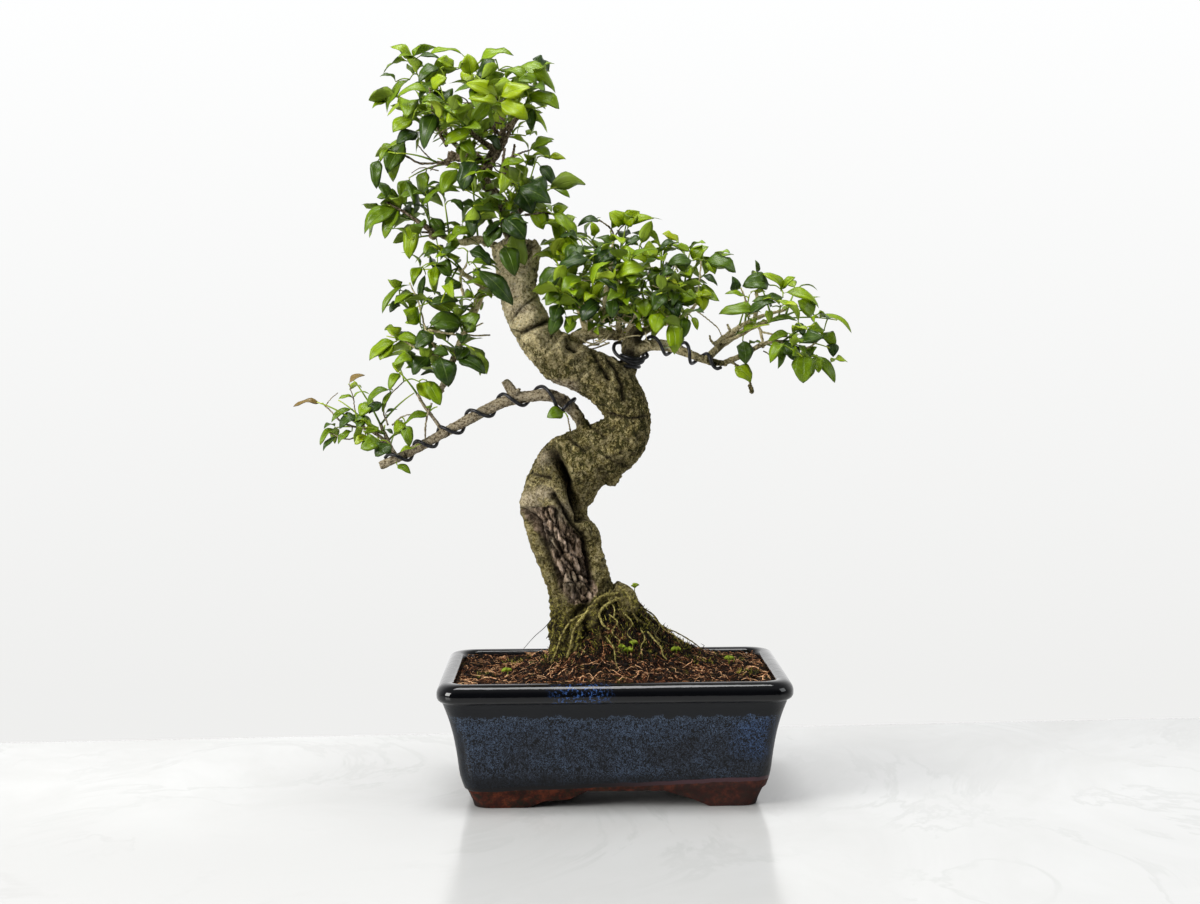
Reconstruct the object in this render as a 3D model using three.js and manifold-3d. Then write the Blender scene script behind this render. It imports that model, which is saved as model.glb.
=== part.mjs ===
// A bonsai tree with an S-shaped trunk, in a glazed rectangular pot with four cut feet.
// Millimetres, +Z up, +X to the right of the front, +Y towards the back.
// While it is built, the middle of the pot's base is at X = Y = 0.
import * as THREE from "three";
import { mergeVertices } from "three/addons/utils/BufferGeometryUtils.js";
import Module from "manifold-3d";

const wasm = await Module();
wasm.setup();

// Driving dimensions
const gap = 0.3; // between two pieces that touch on the real tree
const pot = {
  width: 250,
  depth: 180,
  height: 91,
  floor: 20, // height of the floor inside
  footHeight: 13, // height of the unglazed foot, and of the hollow under the floor
  footWall: 11,
  cornerRadius: 12,
  holeRadius: 9,
  holeOffset: 58, // of each drain hole from the middle
};
const soilLevel = 86.5;
const mound = { x: 0, y: 2, height: 62, sink: 5.5, left: 27, right: 40, front: 32, back: 36 };
const screen = { size: 30, thickness: 1.2, hole: 5, pitch: 8 };
const wireRadius = 1.25;
const leaf = { length: 24.5, width: 12.8, thickness: 0.8 };
const footSpacing = 7.5; // least distance between the feet of two shoots
const stemHalf = 0.85; // half the side of a shoot's square stem
const nodeHalf = 0.9; // half the height of the stem face that a leaf grows from

const v3 = (x, y, z) => new THREE.Vector3(x, y, z);
const up = v3(0, 0, 1);

// Seeded draws between 0 and 1
function seeded(seed) {
  let state = seed;
  return () => {
    state = (Math.imul(state, 1664525) + 1013904223) >>> 0;
    return state / 2 ** 32;
  };
}

// Two triangles for four corners. On a blade the splits mirror each other, so its two faces never cross.
function splitQuad(a, b, c, d, turned) {
  return turned ? [a, b, d, b, c, d] : [a, b, c, a, c, d];
}

// A closed skin over rings of points that run anticlockwise about the way the rings go.
// A ring of one point is a tip.
function loft(rings) {
  const points = rings.flat();
  const starts = [];
  rings.reduce((sum, ring) => (starts.push(sum), sum + ring.length), 0);
  const faces = [];
  for (let i = 0; i + 1 < rings.length; i++) {
    const [low, high] = [rings[i], rings[i + 1]];
    const [a, b] = [starts[i], starts[i + 1]];
    const count = Math.max(low.length, high.length);
    for (let j = 0; j < count; j++) {
      const next = (j + 1) % count;
      if (low.length > 1 && high.length > 1) {
        faces.push(...splitQuad(a + j, a + next, b + next, b + j, j % 2));
      } else if (low.length > 1) {
        faces.push(a + j, a + next, b);
      } else {
        faces.push(a, b + next, b + j);
      }
    }
  }
  const addCap = (ring, start, outward) => {
    if (ring.length === 1) return;
    const middle = ring.reduce((sum, p) => sum.add(p), v3(0, 0, 0)).divideScalar(ring.length);
    const centre = points.push(middle) - 1;
    for (let j = 0; j < ring.length; j++) {
      const next = (j + 1) % ring.length;
      if (outward) faces.push(centre, start + j, start + next);
      else faces.push(centre, start + next, start + j);
    }
  };
  addCap(rings[0], 0, false);
  addCap(rings.at(-1), starts.at(-1), true);
  const geometry = new THREE.BufferGeometry().setFromPoints(points);
  geometry.setIndex(faces);
  return geometry;
}

// A geometry as a solid that can be joined and cut
function solid(geometry) {
  const bare = geometry.clone();
  bare.deleteAttribute("normal");
  bare.deleteAttribute("uv");
  const merged = mergeVertices(bare, 1e-4);
  return new wasm.Manifold(
    new wasm.Mesh({
      numProp: 3,
      vertProperties: new Float32Array(merged.attributes.position.array),
      triVerts: new Uint32Array(merged.index.array),
    }),
  );
}

const join = (solids) => solids.reduce((sum, next) => sum.add(next));
const largest = (made) => made.decompose().sort((a, b) => b.volume() - a.volume())[0];
const meets = (a, b) => !a.intersect(b).isEmpty();

function geometryOf(made) {
  const mesh = made.getMesh();
  const positions = [];
  for (let i = 0; i < mesh.numVert; i++) {
    positions.push(...mesh.vertProperties.subarray(i * mesh.numProp, i * mesh.numProp + 3));
  }
  const geometry = new THREE.BufferGeometry();
  geometry.setAttribute("position", new THREE.Float32BufferAttribute(positions, 3));
  geometry.setIndex(Array.from(mesh.triVerts));
  geometry.computeVertexNormals();
  return geometry;
}

// Pot

function roundedRing(halfX, halfY, radius, z, steps = 3) {
  const points = [];
  for (let corner = 0; corner < 4; corner++) {
    const [signX, signY] = [[1, -1], [1, 1], [-1, 1], [-1, -1]][corner];
    for (let i = 0; i <= steps; i++) {
      const angle = ((corner - 1) * Math.PI) / 2 + (i / steps) * (Math.PI / 2);
      points.push(v3(
        signX * (halfX - radius) + radius * Math.cos(angle),
        signY * (halfY - radius) + radius * Math.sin(angle),
        z,
      ));
    }
  }
  return points;
}

// A ring of the pot, inset from the rim's outside
function potRing(z, inset, radius = pot.cornerRadius - inset * 0.15) {
  return roundedRing(pot.width / 2 - inset, pot.depth / 2 - inset, radius, z);
}

// Height and inset of the inner wall, from the rim down to the floor
const innerWall = [[90.6, 10.8], [89, 12.4], [80, 13.6], [62, 17.6], [24, 25], [pot.floor, 28]];

function potShell() {
  const outside = [
    [0, 24.8], [3, 24], [12, 20.4], [pot.footHeight + 1, 18.2], [22, 15.6], [38, 13.4], [56, 10],
    [67, 6.2], [73.5, 3.6], [75.5, 1.6], [78.5, 0.3], [83, 0], [87, 0.9], [89.8, 3.2], [pot.height, 6.6],
  ];
  return solid(loft([...outside, ...innerWall].map(([z, inset]) => potRing(z, inset))));
}

// The cut between two feet, seen from the front: two steps on one side and a slope on the other
function archCutter(halfSpan, length) {
  const top = pot.footHeight - 0.6;
  const shape = new THREE.Shape();
  shape.moveTo(-halfSpan, -1);
  shape.lineTo(-halfSpan, 0);
  shape.lineTo(-halfSpan * 0.72, top / 2);
  shape.lineTo(-halfSpan * 0.5, top / 2);
  shape.lineTo(-halfSpan * 0.3, top);
  shape.lineTo(halfSpan * 0.6, top);
  shape.lineTo(halfSpan * 0.84, top / 2);
  shape.lineTo(halfSpan, 0);
  shape.lineTo(halfSpan, -1);
  const cutter = new THREE.ExtrudeGeometry(shape, { depth: length, bevelEnabled: false });
  return cutter.translate(0, 0, -length / 2).rotateX(Math.PI / 2);
}

function makePot() {
  const foot = 25 + pot.footWall;
  const hollow = solid(loft([potRing(-1, foot), potRing(pot.footHeight, foot)]));
  const frontArch = solid(archCutter(62, pot.depth));
  const sideArch = solid(archCutter(34, pot.width).rotateZ(Math.PI / 2));
  let made = potShell().subtract(hollow).subtract(frontArch).subtract(sideArch);
  for (const side of [-1, 1]) {
    const hole = new THREE.CylinderGeometry(pot.holeRadius, pot.holeRadius, pot.height, 16);
    made = made.subtract(solid(hole.rotateX(Math.PI / 2).translate(side * pot.holeOffset, 0, 0)));
  }
  return made;
}

// A square plastic mesh over a drain hole
function makeScreen(side) {
  const middle = pot.floor + gap + screen.thickness / 2;
  let sheet = solid(new THREE.BoxGeometry(screen.size, screen.size, screen.thickness));
  for (const column of [-1, 0, 1]) {
    for (const row of [-1, 0, 1]) {
      const hole = new THREE.BoxGeometry(screen.hole, screen.hole, 2 * screen.thickness);
      sheet = sheet.subtract(solid(hole.translate(column * screen.pitch, row * screen.pitch, 0)));
    }
  }
  return sheet.translate([side * pot.holeOffset, 0, middle]);
}

// Soil, heaped round the foot of the trunk

function groundHeight(x, y) {
  const [dx, dy] = [x - mound.x, y - mound.y];
  const away = (dx / (dx > 0 ? mound.right : mound.left)) ** 2 + (dy / (dy > 0 ? mound.back : mound.front)) ** 2;
  const heap = Math.max(0, mound.height / (1 + away) - mound.sink);
  const lumps = 1.1 * Math.sin(x * 0.31 + 2 * Math.sin(y * 0.17)) * Math.cos(y * 0.27 - x * 0.05);
  const grains = 0.6 * Math.sin(x * 0.83 + y * 0.47) * Math.sin(y * 0.91 - x * 0.22);
  return soilLevel + heap + lumps + grains - 0.012 * y;
}

function makeSoil() {
  const cells = [17, 12];
  const bed = new THREE.BoxGeometry(pot.width, pot.depth, 2, ...cells, 1);
  const place = bed.attributes.position;
  for (let i = 0; i < place.count; i++) {
    const high = place.getZ(i) > 0;
    place.setZ(i, high ? groundHeight(place.getX(i), place.getY(i)) : 0);
  }
  const inside = innerWall.map(([z, inset]) => potRing(z, inset + gap));
  inside.at(-1).forEach((p) => (p.z += gap));
  const lid = potRing(pot.height + mound.height + 9, innerWall[0][1] + gap);
  return solid(bed).intersect(solid(loft([...inside.reverse(), lid])));
}

// Wood: the trunk, its roots and its branches

// The trunk's outline as pairs of points [left x, left z, right x, right z], from the foot up
const trunkOutline = [
  [-46, 78, 14, 76], [-46, 98, 14, 98], [-45, 118, 8, 118], [-47, 145, -1, 152], [-59, 176, -9, 178],
  [-64, 195, -11, 190], [-67, 211, -19, 203], [-59, 236, -13, 213], [-49, 252, -8, 221], [-35, 261, 1, 227],
  [-18, 266, 17, 238], [-8, 270, 26, 251], [-4, 272, 29, 267], [-6, 276, 27, 282], [-16, 286, 21, 298],
  [-30, 294, 3, 315], [-46, 301, -17, 324], [-66, 325, -37, 337], [-76, 344, -47, 349], [-82, 369, -54, 368],
  [-84, 384, -52, 383], [-86, 396, -50, 395], [-83, 403, -53, 404],
];
const trunkSides = 13;
const leastDepth = 18.5; // of the trunk, from its middle to its front, below the top third

function trunkRing(outline, along) {
  const [left, right] = [v3(outline[0], 0, outline[1]), v3(outline[2], 0, outline[3])];
  const half = right.clone().sub(left).divideScalar(2);
  const middle = left.clone().add(half);
  const depth = along < 0.7 ? Math.max(half.length() * 0.96, leastDepth) : half.length() * 0.96;
  middle.y = 5 * Math.sin(along * 7);
  const ring = [];
  for (let i = 0; i < trunkSides; i++) {
    const angle = (i / trunkSides) * 2 * Math.PI;
    const ridges = 0.05 * Math.sin(3 * angle + 9 * along) + 0.035 * Math.sin(5 * angle - 14 * along);
    // The old wound on the front of the lower trunk, and the cleft above it
    const front = Math.exp(-(((angle - 1.5 * Math.PI) / 0.55) ** 2));
    const wound = -0.12 * front * Math.exp(-(((along - 0.2) / 0.07) ** 2));
    const cleft = -0.2 * Math.exp(-(((angle - 1.62 * Math.PI) / 0.3) ** 2) - ((along - 0.37) / 0.06) ** 2);
    const swell = Math.abs(Math.sin(angle)) ** 2 * (ridges + wound + cleft);
    ring.push(middle.clone()
      .addScaledVector(half, Math.cos(angle) * (1 + 0.3 * ridges))
      .add(v3(0, depth * Math.sin(angle) * (1 + swell), 0)));
  }
  return ring;
}

function trunkRings(spare = 0) {
  const last = trunkOutline.length - 1;
  return trunkOutline.map((outline, i) => {
    const [xl, zl, xr, zr] = outline;
    const width = Math.hypot(xr - xl, zr - zl);
    const grow = (1 + (2 * spare) / width - 1) / 2;
    const wider = [xl - (xr - xl) * grow, zl - (zr - zl) * grow, xr + (xr - xl) * grow, zr + (zr - zl) * grow];
    return trunkRing(wider, i / last);
  });
}

// A tapered tube along a route of points, as rings that don't twist
function tubeRings(route, radii, sides, steps) {
  const path = new THREE.CatmullRomCurve3(route.map((p) => v3(...p)), false, "centripetal");
  const frames = path.computeFrenetFrames(steps, false);
  const rings = [];
  for (let i = 0; i <= steps; i++) {
    const t = i / steps;
    const centre = path.getPointAt(t);
    const radius = THREE.MathUtils.lerp(radii[0], radii[1], t);
    const ring = [];
    for (let j = 0; j < sides; j++) {
      const angle = (j / sides) * 2 * Math.PI;
      ring.push(centre.clone()
        .addScaledVector(frames.normals[i], radius * Math.cos(angle))
        .addScaledVector(frames.binormals[i], radius * Math.sin(angle)));
    }
    rings.push(ring);
  }
  return rings;
}

// Branches: their route of points, first and last radius, and where the tip of each leafy shoot lies
const branches = [
  { name: "leader", radii: [5.5, 2], route: [[-70, 0, 392], [-74, 4, 414], [-80, 0, 431], [-89, -4, 442],
    [-89, -6, 456], [-81, -2, 470], [-77, 2, 482], [-79, 4, 497], [-84, 2, 508]],
    tips: [[-100, -5, 527], [-85, -38, 500], [-106, -20, 451]] },
  { name: "crown_left", radii: [2.8, 1.4], route: [[-88, -6, 458], [-109, 6, 469], [-122, 10, 484]],
    tips: [[-145, 5, 533], [-152, -12, 505], [-126, 24, 523]] },
  { name: "crown_twig", radii: [1.8, 1.3], route: [[-88, -5, 452], [-108, -10, 455], [-124, -14, 457]],
    tips: [[-153, -22, 463], [-146, 2, 447]] },
  { name: "crown_right", radii: [2.4, 1.4], route: [[-75, 4, 413], [-66, -6, 421], [-58, -12, 430]],
    tips: [[-38, -24, 438], [-52, -8, 461]] },
  { name: "crown_top_right", radii: [2.2, 1.4], route: [[-77, 2, 481], [-68, -4, 488], [-61, -6, 496]],
    tips: [[-51, -8, 519], [-45, 6, 499]] },
  { name: "crown_back", radii: [2.4, 1.4], route: [[-80, -2, 471], [-78, 16, 478], [-76, 30, 490]],
    tips: [[-75, 48, 508]] },
  { name: "crown_front", radii: [2.4, 1.4], route: [[-83, -3, 467], [-92, -18, 472], [-102, -32, 480]],
    tips: [[-112, -50, 489]] },
  { name: "crown_back_left", radii: [2.4, 1.4], route: [[-89, -6, 456], [-102, 16, 470], [-114, 34, 488]],
    tips: [[-131, 50, 512]] },
  { name: "shoulder_back", radii: [2.2, 1.4], route: [[-76, 3, 416], [-70, 18, 423], [-66, 28, 430]],
    tips: [[-62, 42, 446]] },
  { name: "shoulder_front", radii: [2.4, 1.4], route: [[-76, 3, 416], [-78, -14, 420], [-79, -26, 426]],
    tips: [[-76, -47, 446], [-97, -44, 424], [-64, -40, 402]] },
  { name: "left_arm", radii: [4, 1.5], route: [[-72, 0, 394], [-93, -5, 402], [-108, -8, 400], [-124, -10, 406],
    [-134, -12, 413]], tips: [[-160, -14, 427], [-142, 6, 439], [-144, -24, 401]] },
  { name: "hanging_arm", radii: [3.6, 2.4], route: [[-68, 0, 367], [-90, -4, 368], [-97, -6, 355],
    [-106, -8, 335], [-115, -8, 314], [-122, -8, 299]],
    tips: [[-153, -10, 366], [-132, 12, 358], [-162, -18, 333], [-144, -22, 317], [-98, -22, 322]] },
  { name: "hanging_fork", radii: [2.2, 1.3], route: [[-90, -4, 367], [-101, -12, 374], [-110, -18, 381]],
    tips: [[-121, -34, 356], [-124, -22, 398]] },
  { name: "wired_arm", radii: [5.2, 3.2], route: [[-9, -2, 248], [-20.5, -4, 267], [-31, -8, 281.5],
    [-42, -10, 288.5], [-56, -10.5, 289], [-77, -11, 285], [-102, -12, 273], [-124, -12, 261],
    [-146, -12, 249], [-168, -12, 239]], tips: [] },
  { name: "lower_callus", radii: [7, 4.6], route: [[-14, -4, 238], [-4, -5, 230], [4, -6, 225.5]], tips: [] },
  { name: "wired_stub", radii: [3.2, 2.5], route: [[-70, -11, 287], [-73, -11.5, 293], [-76, -12, 300]], tips: [] },
  { name: "wired_twig_up", radii: [1.4, 1.1], route: [[-121, -12, 263], [-134, -15, 281], [-140, -17, 291]],
    tips: [[-156, -20, 310]] },
  { name: "wired_twig_end", radii: [1.9, 1.3], route: [[-156, -12, 244], [-162, -14, 258], [-167, -13, 269]],
    tips: [[-187, -10, 302], [-176, -32, 268]] },
  { name: "wired_twig_left", radii: [1.5, 1.1], route: [[-161, -13, 255], [-172, -18, 264], [-182, -19, 269]],
    tips: [[-212, -22, 286], [-200, -14, 267]] },
  { name: "pad_arm", radii: [5.5, 1.8], route: [[-32, 0, 325], [-15, 4, 334], [7, 6, 332], [24, 8, 335], [40, 7, 344],
    [52, 5, 352]], tips: [[64, 10, 386], [70, -8, 366]] },
  { name: "pad_left_up", radii: [2.2, 1.4], route: [[-17, 4, 334], [-24, -2, 354], [-28, -4, 374]],
    tips: [[-33, 6, 412], [-42, -20, 388]] },
  { name: "pad_left_front", radii: [2.2, 1.3], route: [[-13, 4, 334], [-16, -14, 342], [-18, -26, 350]],
    tips: [[-37, -42, 364], [-12, -52, 372]] },
  { name: "pad_top", radii: [2.2, 1.3], route: [[7, 6, 332], [6, 1, 358], [6, -4, 380]], tips: [[12, -6, 414]] },
  { name: "pad_front", radii: [2.4, 1.4], route: [[9, 6, 332], [16, -10, 342], [20, -22, 351]],
    tips: [[36, -46, 362], [12, -38, 384]] },
  { name: "pad_back", radii: [2.2, 1.4], route: [[6, 6, 332], [6, 22, 350], [7, 32, 370]], tips: [[8, 48, 396]] },
  { name: "pad_top_right", radii: [2, 1.3], route: [[30, 8, 338], [34, 8, 356], [37, 8, 368]], tips: [[38, 6, 398]] },
  { name: "pad_back_right", radii: [2.2, 1.3], route: [[24, 8, 335], [34, 22, 346], [41, 32, 358]],
    tips: [[50, 48, 382]] },
  { name: "pad_low", radii: [1.8, 1.2], route: [[33, 8, 340], [42, -8, 340], [45, -14, 338]], tips: [[50, -40, 336]] },
  { name: "right_arm", radii: [6, 2.4], route: [[14, 0, 290], [12.5, -2, 310], [19, -3, 321], [30, -4, 325],
    [42, -4, 324], [58, -4, 318], [71, -4, 313], [85, -5, 311]], tips: [] },
  { name: "right_fork_up", radii: [2.9, 1.4], route: [[69, -4, 314], [81, -4, 325], [98, -2, 335], [116, 0, 342],
    [128, 1, 346]], tips: [[108, 2, 372], [96, -18, 356], [137, 12, 366], [165, -6, 342]] },
  { name: "right_fork_low", radii: [2.2, 1.3], route: [[83, -5, 312], [97, -10, 318], [112, -13, 326],
    [124, -15, 327]], tips: [[158, -16, 322], [136, -34, 316]] },
];
const byName = Object.fromEntries(branches.map((branch) => [branch.name, branch]));

const routeCurve = (branch) => new THREE.CatmullRomCurve3(branch.route.map((p) => v3(...p)), false, "centripetal");

function branchRings(branch, spare = 0) {
  const thick = branch.radii[0] > 3;
  const sides = thick ? 6 : 4;
  const steps = Math.round(branch.route.length * (thick ? 1.2 : 1));
  return tubeRings(branch.route, branch.radii.map((r) => r + spare), sides, steps);
}

// Surface roots run down the heap from the trunk's foot and sink into it
const rootCount = 7;
function rootRings(index, spare = 0) {
  const draw = seeded(700 + index);
  const heading = (index / rootCount) * 2 * Math.PI + 0.5 * draw();
  const reach = 50 + 26 * draw();
  const bend = 0.9 * (draw() - 0.5);
  const lifts = [7, 3.5, 1, -0.8, -5];
  const route = lifts.map((lift, i) => {
    const share = i / (lifts.length - 1);
    const out = 16 + (reach - 16) * share;
    const angle = heading + bend * share;
    const [x, y] = [-14 + out * Math.cos(angle), 2 + 0.85 * out * Math.sin(angle)];
    return [x, y, groundHeight(x, y) + lift];
  });
  const thick = 4 + 2.2 * draw();
  return tubeRings(route, [thick + spare, 1.8 + spare], 5, 6);
}

// The bare root that crosses the front of the trunk's foot
const frontRoot = { radii: [3.8, 2.6], route: [[4, -24, 147], [-7, -27, 141], [-20, -30, 129], [-29, -34, 112],
  [-34, -38, 98], [-37, -41, 88]] };

function woodParts(spare) {
  const parts = [solid(loft(trunkRings(spare)))];
  for (let i = 0; i < rootCount; i++) parts.push(solid(loft(rootRings(i, spare))));
  parts.push(solid(loft(tubeRings(frontRoot.route, frontRoot.radii.map((r) => r + spare), 6, 7))));
  for (const branch of branches) parts.push(solid(loft(branchRings(branch, spare))));
  return parts;
}

// Training wire, wound round a branch
const turnSteps = 8;

function makeWire(branch, from, to, turns, phase) {
  const path = routeCurve(branch);
  const steps = Math.round(turns * turnSteps);
  const fine = 200;
  const frames = path.computeFrenetFrames(fine, false);
  const points = [];
  for (let i = 0; i <= steps; i++) {
    const share = i / steps;
    const t = from + (to - from) * share;
    const angle = phase + turns * share * 2 * Math.PI;
    const off = (THREE.MathUtils.lerp(...branch.radii, t) + wireRadius + gap) / Math.cos(Math.PI / turnSteps);
    const near = Math.round(t * fine);
    points.push(path.getPointAt(t)
      .addScaledVector(frames.normals[near], off * Math.cos(angle))
      .addScaledVector(frames.binormals[near], off * Math.sin(angle)));
  }
  const shape = new THREE.Shape();
  for (let i = 0; i < 5; i++) {
    const angle = (i / 5) * 2 * Math.PI;
    const [x, y] = [wireRadius * Math.cos(angle), wireRadius * Math.sin(angle)];
    if (i === 0) shape.moveTo(x, y);
    else shape.lineTo(x, y);
  }
  const extrudePath = new THREE.CatmullRomCurve3(points, false, "centripetal");
  return solid(new THREE.ExtrudeGeometry(shape, { steps, extrudePath }));
}

// Leafy shoots

// A leaf's outline: share of its length, and share of its full half width
const leafOutline = [[0.28, 0.84], [0.62, 0.94]];

// The rings of one leaf from its wide part to its tip: arched down, folded up along the rib, waved at the edge
function leafRings(at, spare = 0) {
  const { foot, heading, face, length, width, droop, fold, wave } = at;
  const side = heading.clone().cross(face);
  const rings = leafOutline.map(([share, wide], i) => {
    const rib = foot.clone()
      .addScaledVector(heading, length * share)
      .addScaledVector(face, -droop * length * share * share);
    const half = (width / 2) * wide + spare;
    const waved = wave * (i === 0 ? 1 : -1);
    const thick = leaf.thickness / 2 + spare;
    const edge = (sign) => rib.clone()
      .addScaledVector(side, sign * half)
      .addScaledVector(face, fold * half + sign * waved);
    return [rib.clone().addScaledVector(face, thick), edge(1), rib.clone().addScaledVector(face, -thick), edge(-1)];
  });
  const tip = foot.clone()
    .addScaledVector(heading, length + spare)
    .addScaledVector(face, -droop * length);
  return [...rings, [tip]];
}

// A leaf on its own, from some way off its stem, for finding what it would run into
function leafProbe(at, spare, off = 2.6) {
  const start = at.foot.clone().addScaledVector(at.heading, off);
  const side = at.heading.clone().cross(at.face);
  const half = (off ? 0.5 : 1.1) + spare;
  const ring = [[0, 1], [1, 0], [0, -1], [-1, 0]].map(([across, above]) => start.clone()
    .addScaledVector(side, across * half)
    .addScaledVector(at.face, above * half));
  return solid(loft([ring, ...leafRings(at, spare)]));
}

// The direction at an angle about an axis, measured from the level direction across it
function around(axis, angle) {
  const across = axis.clone().cross(Math.abs(axis.z) > 0.95 ? v3(1, 0, 0) : up).normalize();
  const over = across.clone().cross(axis);
  return across.multiplyScalar(Math.cos(angle)).addScaledVector(over, Math.sin(angle));
}

// A shoot's stem runs from the nearest free point of its branch to its tip, bowed up a little
function planShoot(branch, tip, k, seed, taken) {
  const path = routeCurve(branch);
  const end = v3(...tip);
  const spots = Array.from({ length: 60 }, (_, i) => path.getPointAt(0.25 + 0.745 * (i / 59)))
    .filter((spot) => taken.every((foot) => foot.distanceTo(spot) > footSpacing));
  const foot = spots.sort((a, b) => a.distanceTo(end) - b.distanceTo(end))[0];
  taken.push(foot);
  const length = foot.distanceTo(end);
  const bow = foot.clone().lerp(end, 0.5).addScaledVector(up, 0.12 * length);
  const curve = new THREE.QuadraticBezierCurve3(foot, bow, end);
  const pairs = THREE.MathUtils.clamp(Math.round(length / 9), 3, 4);
  const name = branch.name + "_shoot_" + (k + 1);
  return { name, curve, length, pairs, seed, start: 6.28 * seeded(seed)() };
}

// A square ring of the stem
function stemRing(curve, share, start, away = 0) {
  const [centre, along] = [curve.getPoint(share), curve.getTangent(share)];
  centre.addScaledVector(along, away);
  return [0, 1, 2, 3].map((corner) => {
    const angle = start + Math.PI / 4 + (corner * Math.PI) / 2;
    return centre.clone().addScaledVector(around(along, -angle), stemHalf * Math.SQRT2);
  });
}

const pairShare = (plan, i) => 0.32 + (0.65 * i) / (plan.pairs - 1);

function planLeaves(plan) {
  const draw = seeded(plan.seed + 1);
  const spots = [];
  for (let i = 0; i < plan.pairs; i++) {
    const share = pairShare(plan, i);
    const size = i === plan.pairs - 1 ? 0.85 : 1;
    for (const which of [0, 1]) {
      const draws = Array.from({ length: 8 }, draw);
      spots.push({ pair: i, face: (i % 2) + 2 * which, share, size, draws });
    }
  }
  return spots;
}

// A leaf grows out of its stem face, leans forward, hangs a little and turns its upper side to the sky
function placeLeaf(curve, start, spot, bend, reach) {
  const { draws, size, share } = spot;
  const along = curve.getTangent(share);
  const out = around(along, -(start + (spot.face + 1) * (Math.PI / 2)) + bend);
  const drop = 0.05 + 0.6 * draws[0];
  const heading = out.clone().multiplyScalar(0.85).addScaledVector(along, reach).addScaledVector(up, -drop).normalize();
  const sky = up.clone().add(v3(1.1 * (draws[1] - 0.5), 1.1 * (draws[2] - 0.5), 0)).addScaledVector(out, 0.25);
  const face = sky.addScaledVector(heading, -sky.dot(heading)).normalize();
  const foot = curve.getPoint(share).addScaledVector(out, stemHalf);
  const length = leaf.length * size * (0.84 + 0.3 * draws[3]);
  const width = leaf.width * size * (0.86 + 0.26 * draws[4]);
  return { foot, heading, face, length, width, droop: 0.14 + 0.34 * draws[5], fold: 0.1 + 0.4 * draws[6],
    wave: 0.5 + 1.3 * draws[7] };
}

// One skin for the whole shoot: a stem whose faces open into leaves
function shootSkin(plan, leaves) {
  const curve = plan.curve;
  const points = [];
  const faces = [];
  const add = (ring) => ring.map((p) => points.push(p) - 1);
  const quad = (a, b, c, d, turned) => faces.push(...splitQuad(a, b, c, d, turned));
  const bridge = (low, high) => low.forEach((_, j) => {
    const next = (j + 1) % 4;
    quad(low[j], low[next], high[next], high[j], j % 2);
  });
  let below = add(stemRing(curve, 0, plan.start, -0.4));
  quad(below[3], below[2], below[1], below[0]);
  for (let i = 0; i < plan.pairs; i++) {
    const share = pairShare(plan, i);
    const low = add(stemRing(curve, share, plan.start, -nodeHalf));
    const high = add(stemRing(curve, share, plan.start, nodeHalf));
    bridge(below, low);
    for (let face = 0; face < 4; face++) {
      const next = (face + 1) % 4;
      const leafHere = leaves.find((at) => at.pair === i && at.face === face);
      if (!leafHere) {
        quad(low[face], low[next], high[next], high[face]);
        continue;
      }
      growLeaf([high[face], low[face], low[next], high[next]], leafHere.placed);
    }
    below = high;
  }
  quad(below[0], below[1], below[2], below[3]);

  function growLeaf(opening, at) {
    const [wide, narrow, [tip]] = leafRings(at);
    const first = add(wide);
    const second = add(narrow);
    const end = points.push(tip) - 1;
    const base = bestTurn(opening.map((i) => points[i]), wide).map((i) => opening[i]);
    bridge(base, first);
    bridge(first, second);
    second.forEach((_, j) => faces.push(second[j], second[(j + 1) % 4], end));
  }
  const geometry = new THREE.BufferGeometry().setFromPoints(points);
  geometry.setIndex(faces);
  return solid(geometry);
}

// The order of a ring's corners that twists least towards the next ring
function bestTurn(ring, next) {
  const middle = (points) => points.reduce((sum, p) => sum.add(p), v3(0, 0, 0)).divideScalar(points.length);
  const [a, b] = [middle(ring), middle(next)];
  const score = (turn) => ring.reduce((sum, _, j) => {
    const from = ring[(j + turn) % 4].clone().sub(a).normalize();
    return sum + from.dot(next[j].clone().sub(b).normalize());
  }, 0);
  const best = [0, 1, 2, 3].sort((s, t) => score(t) - score(s))[0];
  return [0, 1, 2, 3].map((j) => (j + best) % 4);
}

// How a leaf may be turned round its stem and leant forward to keep clear of the rest
const leafBends = [[0, 0.45], [0.4, 0.45], [-0.4, 0.45], [0, 1.1], [0.75, 0.6], [-0.75, 0.6], [0.4, 1.4], [-0.4, 1.4]];

function stemProbe(curve, from, spare) {
  const route = [from, (from + 1) / 2, 1].map((t) => curve.getPoint(t).toArray());
  return solid(loft(tubeRings(route, [1.3 + spare, 1.2 + spare], 6, 3)));
}

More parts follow.
